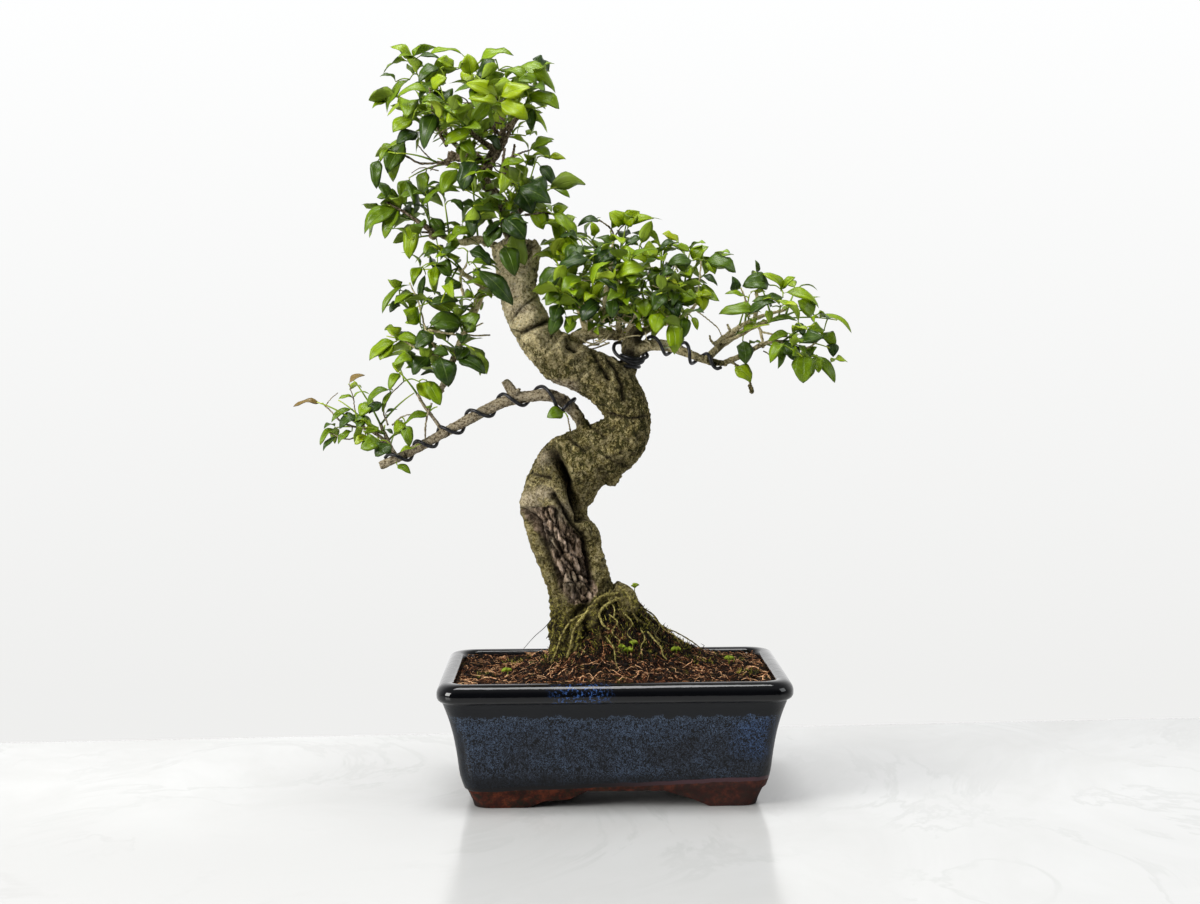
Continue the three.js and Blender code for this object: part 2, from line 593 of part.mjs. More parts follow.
// Builds every shoot, its leaves turned clear of what other shoots, the wood and the wires take up
function makeShoots(wood, woodSpace, wires) {
  const fixed = [wood, ...wires];
  const taken = [];
  const shoots = branches.flatMap((branch, index) => branch.tips.map((tip, k) => {
    const plan = planShoot(branch, tip, k, 5000 + 97 * index + 11 * k, taken);
    return { plan, stem: stemProbe(plan.curve, 0.02, 0), leaves: [], whole: [], blades: [] };
  }));
  const isFree = (placed, shoot) => {
    const whole = leafProbe(placed, gap + 0.1, 0);
    const blade = leafProbe(placed, gap + 0.1);
    return !fixed.some((other) => meets(blade, other)) && shoots.every((other) => {
      if (other === shoot) return !meets(blade, shoot.stem) && !shoot.blades.some((o) => meets(blade, o));
      return !meets(whole, other.stem) && !other.whole.some((o) => meets(whole, o));
    });
  };
  for (const shoot of shoots) {
    for (const spot of planLeaves(shoot.plan)) {
      for (const [bend, reach] of leafBends) {
        const placed = placeLeaf(shoot.plan.curve, shoot.plan.start, spot, bend, reach);
        if (!isFree(placed, shoot)) continue;
        shoot.leaves.push({ ...spot, placed });
        shoot.whole.push(leafProbe(placed, 0, 0));
        shoot.blades.push(leafProbe(placed, 0));
        break;
      }
    }
  }
  return shoots.map(({ plan, leaves }) => [plan.name, largest(shootSkin(plan, leaves).subtract(woodSpace))]);
}

// The whole tree

const materials = {
  glaze: new THREE.MeshStandardMaterial({ color: 0x1f2a3d, roughness: 0.18, metalness: 0 }),
  soil: new THREE.MeshStandardMaterial({ color: 0x3d2618, roughness: 1, metalness: 0 }),
  bark: new THREE.MeshStandardMaterial({ color: 0x7a6c52, roughness: 0.9, metalness: 0 }),
  leaf: new THREE.MeshStandardMaterial({ color: 0x3f7a1f, roughness: 0.45, metalness: 0 }),
  wire: new THREE.MeshStandardMaterial({ color: 0x15171a, roughness: 0.4, metalness: 0.4 }),
  screen: new THREE.MeshStandardMaterial({ color: 0x1c1c1c, roughness: 0.7, metalness: 0 }),
};

const tree = new THREE.Group();
function addNode(name, made, material) {
  const mesh = new THREE.Mesh(geometryOf(made), material);
  mesh.name = name;
  tree.add(mesh);
}

const wood = largest(join(woodParts(0)));
const woodSpace = join(woodParts(gap));
const screens = [makeScreen(-1), makeScreen(1)];
const screenSpace = [-1, 1].map((side) => {
  const block = new THREE.BoxGeometry(screen.size + 2 * gap, screen.size + 2 * gap, 6);
  return solid(block.translate(side * pot.holeOffset, 0, pot.floor + gap + screen.thickness + gap - 3));
});
const wires = [
  makeWire(byName.wired_arm, 0.17, 0.985, 6.8, 1.6),
  makeWire(byName.right_arm, 0.2, 0.97, 6.5, 5.2),
].map((wire) => largest(wire.subtract(woodSpace)));

addNode("pot", makePot(), materials.glaze);
addNode("soil", largest(makeSoil().subtract(woodSpace).subtract(join(screenSpace))), materials.soil);
addNode("drain_screen_left", screens[0], materials.screen);
addNode("drain_screen_right", screens[1], materials.screen);
addNode("trunk", wood, materials.bark);
addNode("training_wire_left", wires[0], materials.wire);
addNode("training_wire_right", wires[1], materials.wire);
for (const [name, made] of makeShoots(wood, woodSpace, wires)) addNode(name, made, materials.leaf);

// The part's origin is on the surface, under the middle of the whole bonsai
const box = new THREE.Box3().setFromObject(tree);
const centre = box.getCenter(v3(0, 0, 0));
tree.position.set(-centre.x, -centre.y, 0);

export default tree;
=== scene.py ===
import math

import bmesh
import bpy
import numpy as np
from mathutils import Matrix, Vector, noise
from mathutils.kdtree import KDTree


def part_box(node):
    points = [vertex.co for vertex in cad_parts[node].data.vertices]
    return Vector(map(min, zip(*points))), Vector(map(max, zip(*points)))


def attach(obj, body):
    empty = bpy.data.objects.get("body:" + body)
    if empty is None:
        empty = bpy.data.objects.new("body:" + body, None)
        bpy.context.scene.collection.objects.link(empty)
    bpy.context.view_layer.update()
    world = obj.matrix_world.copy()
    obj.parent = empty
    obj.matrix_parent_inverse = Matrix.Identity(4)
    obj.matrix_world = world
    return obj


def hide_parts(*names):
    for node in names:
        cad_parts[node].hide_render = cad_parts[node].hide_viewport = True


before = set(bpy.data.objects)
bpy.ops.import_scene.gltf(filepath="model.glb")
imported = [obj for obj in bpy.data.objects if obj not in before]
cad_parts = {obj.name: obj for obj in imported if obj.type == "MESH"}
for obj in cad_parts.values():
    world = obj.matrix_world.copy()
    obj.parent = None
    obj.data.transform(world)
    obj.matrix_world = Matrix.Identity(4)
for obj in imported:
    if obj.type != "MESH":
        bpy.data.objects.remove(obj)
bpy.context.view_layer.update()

# The pot's base has its middle at x = y = 0 in every dictionary here, in millimetres
mm = 0.001
fullTurn = 6.28  # near enough for random headings
potLow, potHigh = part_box("pot")
potMiddle = (potLow + potHigh) / 2


def spot(x, y, z):
    return Vector((potMiddle.x + x * mm, potMiddle.y + y * mm, z * mm))


def toFrame(points):
    return np.asarray(points, float) * mm + (potMiddle.x, potMiddle.y, 0)


def toMm(points):
    return (points - (potMiddle.x, potMiddle.y, 0)) / mm


# camera


cameraPlace = {"lens": 62.11, "x": -8.394, "distance": 1510.15, "height": 327.23,
               "pitch": 0.0529, "yaw": 0.0128, "roll": 0.0073}


def makeCamera():
    c = cameraPlace
    data = bpy.data.cameras.new("camera")
    data.sensor_width = 36
    data.lens = c["lens"]
    data.clip_end = 20
    camera = bpy.data.objects.new("camera", data)
    bpy.context.scene.collection.objects.link(camera)
    turn = Matrix.Rotation(-c["yaw"], 3, "Z")
    across, over = Vector((1, 0, 0)), Vector((0, math.sin(c["pitch"]), math.cos(c["pitch"])))
    right = across * math.cos(c["roll"]) - over * math.sin(c["roll"])
    top = across * math.sin(c["roll"]) + over * math.cos(c["roll"])
    axes = Matrix((turn @ right, turn @ top, turn @ right.cross(top))).transposed()
    camera.matrix_world = axes.to_4x4()
    stand = turn @ Vector((c["x"], -c["distance"], 0))
    camera.location = spot(stand.x, stand.y, c["height"])
    bpy.context.scene.camera = camera


makeCamera()
cameraFar = cameraPlace["distance"]
cameraEye = np.array([cameraPlace["x"], -cameraFar, cameraPlace["height"]])


def seenAt(x, z, y):
    # where a point at depth y lies that the camera sees over x and z of the trunk's plane
    return cameraEye + (np.array([x, 0, z]) - cameraEye) * (1 + y / cameraFar)


def seenOver(point):
    # and the other way round
    place = cameraEye + (point - cameraEye) * cameraFar / (point[1] + cameraFar)
    return place[0], place[2]


# helpers for meshes


def deselectAll():
    if bpy.context.object and bpy.context.object.mode != "OBJECT":
        bpy.ops.object.mode_set(mode="OBJECT")
    bpy.ops.object.select_all(action="DESELECT")


def pickUp(piece):
    deselectAll()
    piece.select_set(True)
    bpy.context.view_layer.objects.active = piece


def applyModifier(piece, kind, **settings):
    pickUp(piece)
    modifier = piece.modifiers.new(kind.lower(), kind)
    for key, value in settings.items():
        setattr(modifier, key, value)
    bpy.ops.object.modifier_apply(modifier=modifier.name)


def meshObject(name, verts, faces):
    mesh = bpy.data.meshes.new(name)
    mesh.from_pydata([tuple(v) for v in verts], [], [tuple(f) for f in faces])
    mesh.update()
    piece = bpy.data.objects.new(name, mesh)
    bpy.context.scene.collection.objects.link(piece)
    return piece


def smooth(piece, angle=None):
    pickUp(piece)
    if angle is None:
        bpy.ops.object.shade_smooth()
    else:
        bpy.ops.object.shade_smooth_by_angle(angle=math.radians(angle))


def coordinates(mesh):
    values = np.zeros(len(mesh.vertices) * 3)
    mesh.vertices.foreach_get("co", values)
    return values.reshape(-1, 3)


def vertexNormals(mesh):
    values = np.zeros(len(mesh.vertices) * 3)
    mesh.vertex_normals.foreach_get("vector", values)
    return values.reshape(-1, 3)


def moveVertices(mesh, places):
    mesh.vertices.foreach_set("co", np.asarray(places, float).ravel())
    mesh.update()


def writeAttribute(mesh, name, values, domain="POINT"):
    layer = mesh.attributes.new(name, "FLOAT", domain)
    layer.data.foreach_set("value", np.asarray(values, np.float32))


def seeded(seed):
    # the same draws between 0 and 1 in every run
    state = seed

    def draw():
        nonlocal state
        state = (state * 1664525 + 1013904223) & 0xFFFFFFFF
        return state / 2 ** 32
    return draw


def jitter(draw, rows=0):
    values = np.array([draw() - 0.5 for _ in range(3 * max(rows, 1))])
    return values.reshape(-1, 3) if rows else values


def fractal(points, size, seed, octaves=3):
    # noise of about -1 to 1 at points in millimetres
    shift = Vector((seed * 13.1, seed * 7.7, seed * 3.3))
    return np.array([noise.fractal(Vector(p) / size + shift, 1.0, 2.0, octaves) for p in points])


def finishPiece(piece, name, nodes, materials):
    piece.name = piece.data.name = name
    piece.data.materials.clear()
    for material in materials:
        piece.data.materials.append(material)
    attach(piece, "root")
    if nodes:
        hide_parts(*nodes)
    return piece


# helpers for materials


# the node tree that the helpers add to
building = {}


def startMaterial(name, **sockets):
    material = bpy.data.materials.new(name)
    material.use_nodes = True
    building["tree"] = material.node_tree
    shader = material.node_tree.nodes["Principled BSDF"]
    for key, value in sockets.items():
        shader.inputs[key.replace("_", " ")].default_value = value
    return material, shader


def addNode(kind):
    return building["tree"].nodes.new("ShaderNode" + kind)


def put(socket, value):
    if isinstance(value, bpy.types.NodeSocket):
        building["tree"].links.new(value, socket)
    elif isinstance(value, (tuple, list)) and socket.type == "RGBA":
        socket.default_value = (*value[:3], 1)
    else:
        socket.default_value = value


def objectPoint(scale=(1, 1, 1)):
    # the piece's own place, in millimetres from the pot's middle, stretched by scale
    mapping = addNode("Mapping")
    put(mapping.inputs["Vector"], addNode("TexCoord").outputs["Object"])
    put(mapping.inputs["Location"], [-potMiddle[i] * 1000 * scale[i] * (i < 2) for i in range(3)])
    put(mapping.inputs["Scale"], [1000 * s for s in scale])
    return mapping.outputs[0]


def noiseAt(point, size, detail=3, rough=0.55, distortion=0):
    node = addNode("TexNoise")
    for key, value in (("Vector", point), ("Scale", 1 / size), ("Detail", detail), ("Roughness", rough),
                       ("Distortion", distortion)):
        put(node.inputs[key], value)
    return node.outputs["Fac"]


def ramp(value, stops):
    node = addNode("ValToRGB")
    put(node.inputs[0], value)
    marks = node.color_ramp.elements
    while len(marks) < len(stops):
        marks.new(0.5)
    for mark, (place, colour) in zip(marks, stops):
        mark.position = place
        mark.color = (*colour, 1) if isinstance(colour, tuple) else (colour, colour, colour, 1)
    return node.outputs[0]


def mix(share, a, b):
    node = addNode("Mix")
    node.data_type = "RGBA"
    for socket, value in ((0, share), (6, a), (7, b)):
        put(node.inputs[socket], value)
    return node.outputs[2]


def sums(kind, *values):
    node = addNode("Math")
    node.operation = kind
    for socket, value in zip(node.inputs, values):
        put(socket, value)
    return node.outputs[0]


def times(a, b):
    return sums("MULTIPLY", a, b)


def timesPlus(a, b, c):
    return sums("MULTIPLY_ADD", a, b, c)


def plus(a, b):
    return sums("ADD", a, b)


def minus(a, b):
    return sums("SUBTRACT", a, b)


def larger(a, b):
    return sums("MAXIMUM", a, b)


def absolute(a):
    return sums("ABSOLUTE", a)


def fade(value, low, high):
    # 0 at low and 1 at high, soft between
    node = addNode("MapRange")
    node.interpolation_type = "SMOOTHSTEP"
    for key, setting in (("Value", value), ("From Min", low), ("From Max", high)):
        put(node.inputs[key], setting)
    return node.outputs[0]


def attribute(name):
    node = addNode("Attribute")
    node.attribute_name = name
    return node.outputs["Fac"]


def splitPoint(point):
    node = addNode("SeparateXYZ")
    put(node.inputs[0], point)
    return node.outputs


def addBump(shader, height, distance):
    node = addNode("Bump")
    node.inputs["Distance"].default_value = distance * mm
    put(node.inputs["Height"], height)
    put(shader.inputs["Normal"], node.outputs[0])


# light and floor


studio = {
    # how bright the room is behind the camera, beside the tree, behind it and overhead
    "room": (0.03, 0.34, 0.95, 0.30),
    "wallLow": (0.865,0.865,0.855), "wallHigh": (0.995,1.0,1.0),
    "lamps": [
        {"name": "windowLeft", "at": (-1950, -1235, 910), "size": 1.17, "power": 66, "colour": (1, 0.99, 0.96)},
        {"name": "windowRight", "at": (1500, -700, 950), "size": 0.9, "power": 8, "colour": (0.95, 0.98, 1)},
        {"name": "overhead", "at": (-100, -160, 1900), "size": 1.0, "power": 30, "colour": (1, 1, 1)},
    ],
    # the table ends at a wall: its back edge, from the left to the right, and its front edge
    "tableBack": [(-2500, 75), (2500, 375)], "tableFront": -560,
}


def makeLight():
    world = bpy.data.worlds.new("studio")
    bpy.context.scene.world = world
    world.use_nodes = True
    building["tree"] = world.node_tree
    direction = splitPoint(addNode("TexCoord").outputs["Generated"])
    front, beside, back, top = studio["room"]
    around = ramp(timesPlus(direction[1], 0.5, 0.5), [(0.1, front), (0.5, beside), (0.8, back)])
    room = mix(fade(direction[2], 0.35, 0.9), around, (top, top, top))
    wall = ramp(plus(direction[2], 0.5), [(0.34, studio["wallLow"]), (0.66, studio["wallHigh"])])
    seen = addNode("LightPath").outputs["Is Camera Ray"]
    background = world.node_tree.nodes["Background"]
    put(background.inputs[0], mix(seen, room, wall))
    background.inputs[1].default_value = 1
    aim = spot(0, 0, 260)
    for lamp in studio["lamps"]:
        data = bpy.data.lights.new(lamp["name"], "AREA")
        data.size = lamp["size"]
        data.energy = lamp["power"]
        data.color = lamp["colour"]
        light = bpy.data.objects.new(lamp["name"], data)
        bpy.context.scene.collection.objects.link(light)
        light.location = spot(*lamp["at"])
        light.rotation_euler = (aim - light.location).to_track_quat("-Z", "Y").to_euler()
    bpy.context.scene.view_settings.view_transform = "Standard"


def makeFloor():
    (leftX, leftY), (rightX, rightY) = studio["tableBack"]
    floor = meshObject("table", toFrame([(leftX, studio["tableFront"], -0.2),
                                         (rightX, studio["tableFront"], -0.2),
                                          (rightX, rightY, -0.2), (leftX, leftY, -0.2)]), [(0, 1, 2, 3)])
    material, shader = startMaterial("paleMarble", Roughness=0.16, Specular_IOR_Level=0.35)
    point = objectPoint((1, 0.6, 1))
    clouds = noiseAt(point, 130, 5, 0.6, 0.8)
    vein = absolute(minus(noiseAt(point, 210, 6, 0.62, 1.6), 0.5))
    amount = times(fade(vein, 0.035, 0.0), fade(clouds, 0.4, 0.65))
    base = ramp(clouds, [(0.3, (0.56,0.56,0.55)), (0.65, (0.64,0.645,0.64))])
    # painted shade: the floor is a little greyer towards the front and the left
    x, y = splitPoint(objectPoint())[:2]
    grey = times(fade(y, 60.0, -220.0), timesPlus(fade(x, 150.0, -250.0), 0.65, 0.35))
    base = mix(grey, base, (0.53,0.53,0.525))
    put(shader.inputs["Base Color"], mix(times(amount, 0.28), base, (0.40,0.40,0.39)))
    floor.data.materials.append(material)


makeLight()
makeFloor()
print("light and table made")


# pot


potShape = {
    "width": 250, "depth": 180, "cornerRadius": 12, "cornerSteps": 7,
    # height and inset of the wall's rings: up the outside, over the rolled rim, down the inside
    "outside": [(0,24.8), (3,24), (12,20.4), (14,18.2), (22,15.6), (38,13.4), (56,10.2), (67,7.2), (76.2,4.0)],
    "rim": [(77.2,3.2), (77.8,2.0), (79.0,0.8), (80.8,0.1), (82.6,0), (84.6,0.1), (86.6,0.7), (88.4,1.8),
            (89.8,3.4),
            (90.7,5.3), (91,7.2), (90.9,9.0), (90.3,10.6), (89.3,11.7), (87.8,12.4)],
    "inside": [(85,12.9), (80,13.6), (62,17.6), (42,21.2), (24,25), (20,28)],
    "footHollow": 36, "footHeight": 12.4, "holeRadius": 9, "holeOffset": 58,
    "frontArch": [(-62,0), (-50,4.8), (-33,6), (-20,12.2), (34,12.2), (54,5.6), (66,0)],
    "sideArch": [(-34,0), (-25,6.2), (-14,12.2), (18,12.2), (28,6.2), (34,0)],
}


def smoothProfile(points, count):
    # more points on a smooth curve through the given ones
    path = np.array(points, float)
    lengths = np.concatenate([[0], np.cumsum(np.linalg.norm(np.diff(path, axis=0), axis=1))])
    slopes = np.gradient(path, lengths, axis=0)
    wanted = np.linspace(0, lengths[-1], count)
    result = []
    for s in wanted:
        i = min(np.searchsorted(lengths, s, side="right") - 1, len(path) - 2)
        h = lengths[i + 1] - lengths[i]
        t = (s - lengths[i]) / h
        a, b = path[i], path[i + 1]
        result.append((2 * t ** 3 - 3 * t ** 2 + 1) * a + (t ** 3 - 2 * t ** 2 + t) * h * slopes[i]
                      + (3 * t ** 2 - 2 * t ** 3) * b + (t ** 3 - t ** 2) * h * slopes[i + 1])
    return [tuple(p) for p in result]


def archCutter(outline, length, turned):
    # an outline pulled into a long block, to be cut from the foot
    points = [(outline[0][0], -2)] + list(outline) + [(outline[-1][0], -2)]
    verts = [spot(x, -length / 2, z) if not turned else spot(-length / 2, x, z) for x, z in points]
    cutter = meshObject("cutter", verts, [range(len(points))])
    pickUp(cutter)
    bpy.ops.object.mode_set(mode="EDIT")
    bpy.ops.mesh.select_all(action="SELECT")
    way = (length * mm, 0, 0) if turned else (0, length * mm, 0)
    bpy.ops.mesh.extrude_region_move(TRANSFORM_OT_translate={"value": way})
    bpy.ops.mesh.select_all(action="SELECT")
    bpy.ops.mesh.normals_make_consistent(inside=False)
    bpy.ops.object.mode_set(mode="OBJECT")
    return cutter


def cutAway(piece, cutter):
    applyModifier(piece, "BOOLEAN", operation="DIFFERENCE", solver="EXACT", object=cutter)
    bpy.data.objects.remove(cutter)


def makePot():
    s = potShape
    rings = smoothProfile(s["outside"][:3], 4) + smoothProfile(s["outside"][3:], 14) + s["rim"] + s["inside"]
    half = (s["width"] / 2, s["depth"] / 2)
    deselectAll()
    bpy.ops.mesh.primitive_plane_add(size=1, location=potMiddle)
    pot = bpy.context.object
    pot.location.z = 0
    height, inset = rings[0]
    pot.scale = (2 * (half[0] - inset) * mm, 2 * (half[1] - inset) * mm, 1)
    bpy.ops.object.transform_apply(location=True, rotation=True, scale=True)
    bpy.ops.object.mode_set(mode="EDIT")
    bpy.ops.mesh.select_all(action="SELECT")
    bpy.ops.mesh.bevel(offset=s["cornerRadius"] * mm, segments=s["cornerSteps"], affect="VERTICES")
    bpy.ops.mesh.select_all(action="SELECT")
    # each new ring is pulled up from the last and drawn in or out to its inset
    for nextHeight, nextInset in rings[1:]:
        bpy.ops.mesh.extrude_edges_move(TRANSFORM_OT_translate={"value": (0, 0, (nextHeight - height) * mm)})
        draw = [(h - nextInset) / (h - inset) for h in half]
        bpy.ops.transform.resize(value=(draw[0], draw[1], 1), center_override=(potMiddle.x, potMiddle.y, 0))
        height, inset = nextHeight, nextInset
    bpy.ops.mesh.edge_face_add()
    bpy.ops.mesh.select_all(action="SELECT")
    bpy.ops.mesh.normals_make_consistent(inside=False)
    bpy.ops.object.mode_set(mode="OBJECT")
    # the hollow under the floor, the cuts between the feet and the drain holes
    bpy.ops.mesh.primitive_cube_add(size=1, location=spot(0, 0, s["footHeight"] / 2 - 2))
    hollow = bpy.context.object
    hollow.scale = [2 * (h - s["footHollow"]) * mm for h in half] + [(s["footHeight"] + 4) * mm]
    bpy.ops.object.transform_apply(location=True, rotation=True, scale=True)
    applyModifier(hollow, "BEVEL", width=6 * mm, segments=3)
    cutAway(pot, hollow)
    cutAway(pot, archCutter(s["frontArch"], s["depth"] + 20, False))
    cutAway(pot, archCutter(s["sideArch"], s["width"] + 20, True))
    for side in (-1, 1):
        bpy.ops.mesh.primitive_cylinder_add(vertices=32, radius=s["holeRadius"] * mm, depth=0.05,
                                            location=spot(side * s["holeOffset"], 0, 16))
        cutAway(pot, bpy.context.object)
    applyModifier(pot, "BEVEL", width=0.9 * mm, segments=2, limit_method="ANGLE", angle_limit=math.radians(50))
    # thrown by hand: the walls and the rim run a little uneven
    places = coordinates(pot.data)
    local = toMm(places)
    sway = fractal(local * (1, 1, 0.6), 70, 3, 2)
    high = np.clip(local[:, 2] / 20, 0, 1)
    places[:, 2] += 0.7 * mm * sway * high
    places[:, 1] += np.sign(local[:, 1]) * 0.5 * mm * (sway - 1) * high
    moveVertices(pot.data, places)
    smooth(pot, 38)
    return pot


def glazeMaterial():
    material, shader = startMaterial("potGlaze", Coat_Roughness=0.04, Specular_IOR_Level=0.19)
    point = objectPoint()
    x, y, z = splitPoint(point)[:3]
    wander = noiseAt(point, 16, 4, 0.6)
    fineWander = noiseAt(point, 4, 4, 0.7)
    # the netted blue of the walls, darker at the corners and low down, bluest by the right end
    worms = noiseAt(objectPoint((1, 1, 0.8)), 2.1, 3, 0.6, 1.6)
    net = ramp(worms, [(0.45, 0.0), (0.487, 0.06), (0.512, 1.0), (0.538, 1.0), (0.574, 0.0)])
    cloud = noiseAt(point, 30, 3, 0.6)
    blue = mix(fade(cloud, 0.42, 0.60), (0.038,0.050,0.076), (0.058,0.084,0.136))
    upper = fade(timesPlus(cloud, 20.0, z), 52.0, 72.0)
    blue = mix(times(upper, 0.7), blue, (0.072,0.110,0.186))
    bright = times(fade(timesPlus(cloud, 24.0, x), 84.0, 112.0), fade(z, 30.0, 42.0))
    blue = mix(times(bright, 0.8), blue, (0.06,0.12,0.27))
    # the wall leans in by about a fifth towards the foot, and so does its dark edge
    flank = timesPlus(z, -0.19, plus(absolute(x), 19.8))
    shade = larger(fade(timesPlus(wander, 16.0, flank), 122.0, 128.0),
                 fade(timesPlus(wander, 10.0, z), 33.0, 24.0))
    wall = mix(times(net, timesPlus(shade, -0.75, 1.0)), (0.0022,0.0028,0.0042), blue)
    # dark band under the rim, with a ragged lower edge
    edge = timesPlus(wander, 11.0, timesPlus(fineWander, 5.0, 59.0))
    over = minus(z, edge)
    band = fade(over, -0.5, 0.5)
    wall = mix(times(fade(over, -5.0, -0.6), times(net, 0.6)), wall, (0.075,0.105,0.155))
    colour = mix(band, wall, (0.0065,0.0075,0.0095))
    # black rolled rim with a cloud of blue at the front
    rim = fade(timesPlus(wander, 1.5, z), 77.6, 78.8)
    fleck = noiseAt(point, 1.8, 4, 0.75)
    cloudHere = times(fade(absolute(plus(x, 24.0)), 27.0, 8.0), fade(y, -70.0, -80.0))
    blueFleck = times(fade(fleck, 0.54, 0.60), cloudHere)
    rimColour = mix(blueFleck, (0.002,0.0022,0.0030), (0.030,0.075,0.22))
    colour = mix(rim, colour, rimColour)
    # the glaze stops above the feet: a purple-brown lip on the right, then bare clay
    slope = timesPlus(x, 0.035, 14.2)
    bare = minus(z, timesPlus(wander, 3.0, slope))
    clayNoise = noiseAt(point, 9, 4, 0.65)
    clay = ramp(clayNoise, [(0.38, (0.014,0.0045,0.003)), (0.5, (0.046,0.0095,0.0045)),
                            (0.62, (0.108,0.024,0.009))])
    stain = fade(noiseAt(point, 5, 4, 0.75), 0.48, 0.60)
    clay = mix(times(stain, 0.75), clay, (0.012,0.010,0.005))
    clay = mix(times(fade(x, -10.0, 70.0), 0.4), clay, (0.055,0.026,0.024))
    lip = mix(fade(x, -20.0, 60.0), (0.006,0.005,0.006), (0.060,0.028,0.034))
    colour = mix(fade(bare, 3.4, 2.4), colour, lip)
    bareShare = fade(bare, 0.4, -0.4)
    colour = mix(bareShare, colour, clay)
    # painted shade: the clay is darker on the inside of the foot, under the pot
    colour = mix(times(fade(absolute(y), 66.0, 58.0), fade(z, 16.0, 13.0)), colour, (0.010,0.007,0.006))
    put(shader.inputs["Base Color"], colour)
    rough = timesPlus(band, -0.06, timesPlus(rim, -0.27, 0.36))
    rough = larger(rough, times(bareShare, 0.75))
    put(shader.inputs["Roughness"], rough)
    put(shader.inputs["Coat Weight"], times(minus(1.0, bareShare), timesPlus(rim, 0.36, 0.06)))
    height = timesPlus(worms, timesPlus(rim, -0.8, 0.85), times(wander, 2.5))
    addBump(shader, height, 0.18)
    return material


pot = finishPiece(makePot(), "glazedPot", ["pot"], [glazeMaterial()])
print("pot made:", len(pot.data.polygons), "faces")


def screenMaterial():
    material, shader = startMaterial("screenPlastic", Roughness=0.6)
    point = objectPoint()
    grain = noiseAt(point, 2, 3)
    put(shader.inputs["Base Color"], ramp(grain, [(0.3, (0.02,0.02,0.02)), (0.7, (0.05,0.05,0.048))]))
    addBump(shader, grain, 0.1)
    return material


screenPlastic = screenMaterial()
for name in ("drain_screen_left", "drain_screen_right"):
    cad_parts[name].data.materials.clear()
    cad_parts[name].data.materials.append(screenPlastic)


# soil


soilShape = {
    "level": 86.5, "halfWidth": 112.0, "halfDepth": 77.0, "cornerRadius": 9.5, "cells": (210,150),
    "heap": {"x": 0, "y": 2, "height": 62, "sink": 5.5, "left": 27, "right": 40, "front": 32, "back": 36},
    # height and half sizes of the rings under the surface, which follow the pot's inner wall
    "under": [(80,111.1,76.1), (62,107.1,72.1), (42,103.5,68.5), (24,99.7,64.7), (20.3,96.7,61.7)],
    "crumb": (1.5,4.2), "grit": (0.8,1.9),
}


def groundHeight(x, y):
    s = soilShape
    h = s["heap"]
    dx, dy = x - h["x"], y - h["y"]
    away = (dx / np.where(dx > 0, h["right"], h["left"])) ** 2 + (dy / np.where(dy > 0, h["back"],
            h["front"])) ** 2
    heap = np.maximum(0, h["height"] / (1 + away) - h["sink"])
    lumps = 1.1 * np.sin(x * 0.31 + 2 * np.sin(y * 0.17)) * np.cos(y * 0.27 - x * 0.05)
    grains = 0.6 * np.sin(x * 0.83 + y * 0.47) * np.sin(y * 0.91 - x * 0.22)
    return s["level"] + heap + lumps + grains - 0.012 * y


def makeSoil():
    s = soilShape
    deselectAll()
    bpy.ops.mesh.primitive_grid_add(x_subdivisions=s["cells"][0], y_subdivisions=s["cells"][1], size=1,
                                    location=spot(0, 0, s["level"]))
    soil = bpy.context.object
    soil.scale = (2 * s["halfWidth"] * mm, 2 * s["halfDepth"] * mm, 1)
    bpy.ops.object.transform_apply(location=True, rotation=True, scale=True)
    x, y = toMm(coordinates(soil.data)).T[:2]
    # the corners of the bed are round, as the pot's are
    r = s["cornerRadius"]
    over = np.stack([np.maximum(np.abs(x) - (s["halfWidth"] - r), 0),
                     np.maximum(np.abs(y) - (s["halfDepth"] - r), 0)])
    reach = np.hypot(*over)
    pull = np.where((over.min(axis=0) > 0) & (reach > 0),
                    np.maximum(over.max(axis=0), 1e-9) / np.maximum(reach, 1e-9), 1)
    x = np.where(over[0] > 0, np.sign(x) * (s["halfWidth"] - r + over[0] * pull), x)
    y = np.where(over[1] > 0, np.sign(y) * (s["halfDepth"] - r + over[1] * pull), y)
    flat = np.stack([x, y, 0 * x], axis=1)
    level = groundHeight(x, y)
    level += s["crumb"][0] * fractal(flat, s["crumb"][1], 5, 2) + s["grit"][0] * fractal(flat, s["grit"][1], 9, 2)
    moveVertices(soil.data, toFrame(np.stack([x, y, level], axis=1)))
    pickUp(soil)
    bpy.ops.object.mode_set(mode="EDIT")
    mesh = bmesh.from_edit_mesh(soil.data)
    for part in (mesh.faces, mesh.edges, mesh.verts):
        for item in part:
            item.select = False
    for edge in mesh.edges:
        if edge.is_boundary:
            edge.select_set(True)
    bmesh.update_edit_mesh(soil.data)
    halves = (s["halfWidth"], s["halfDepth"])
    for height, halfX, halfY in s["under"]:
        bpy.ops.mesh.extrude_edges_move(TRANSFORM_OT_translate={"value": (0, 0, -0.002)})
        bpy.ops.transform.resize(value=(halfX / halves[0], halfY / halves[1], 1),
                                 center_override=(potMiddle.x, potMiddle.y, 0))
        mesh = bmesh.from_edit_mesh(soil.data)
        for vert in mesh.verts:
            if vert.select:
                vert.co.z = height * mm
        bmesh.update_edit_mesh(soil.data)
        halves = (halfX, halfY)
    bpy.ops.mesh.edge_face_add()
    bpy.ops.mesh.select_all(action="SELECT")
    bpy.ops.mesh.normals_make_consistent(inside=False)
    bpy.ops.object.mode_set(mode="OBJECT")
    smooth(soil)
    return soil


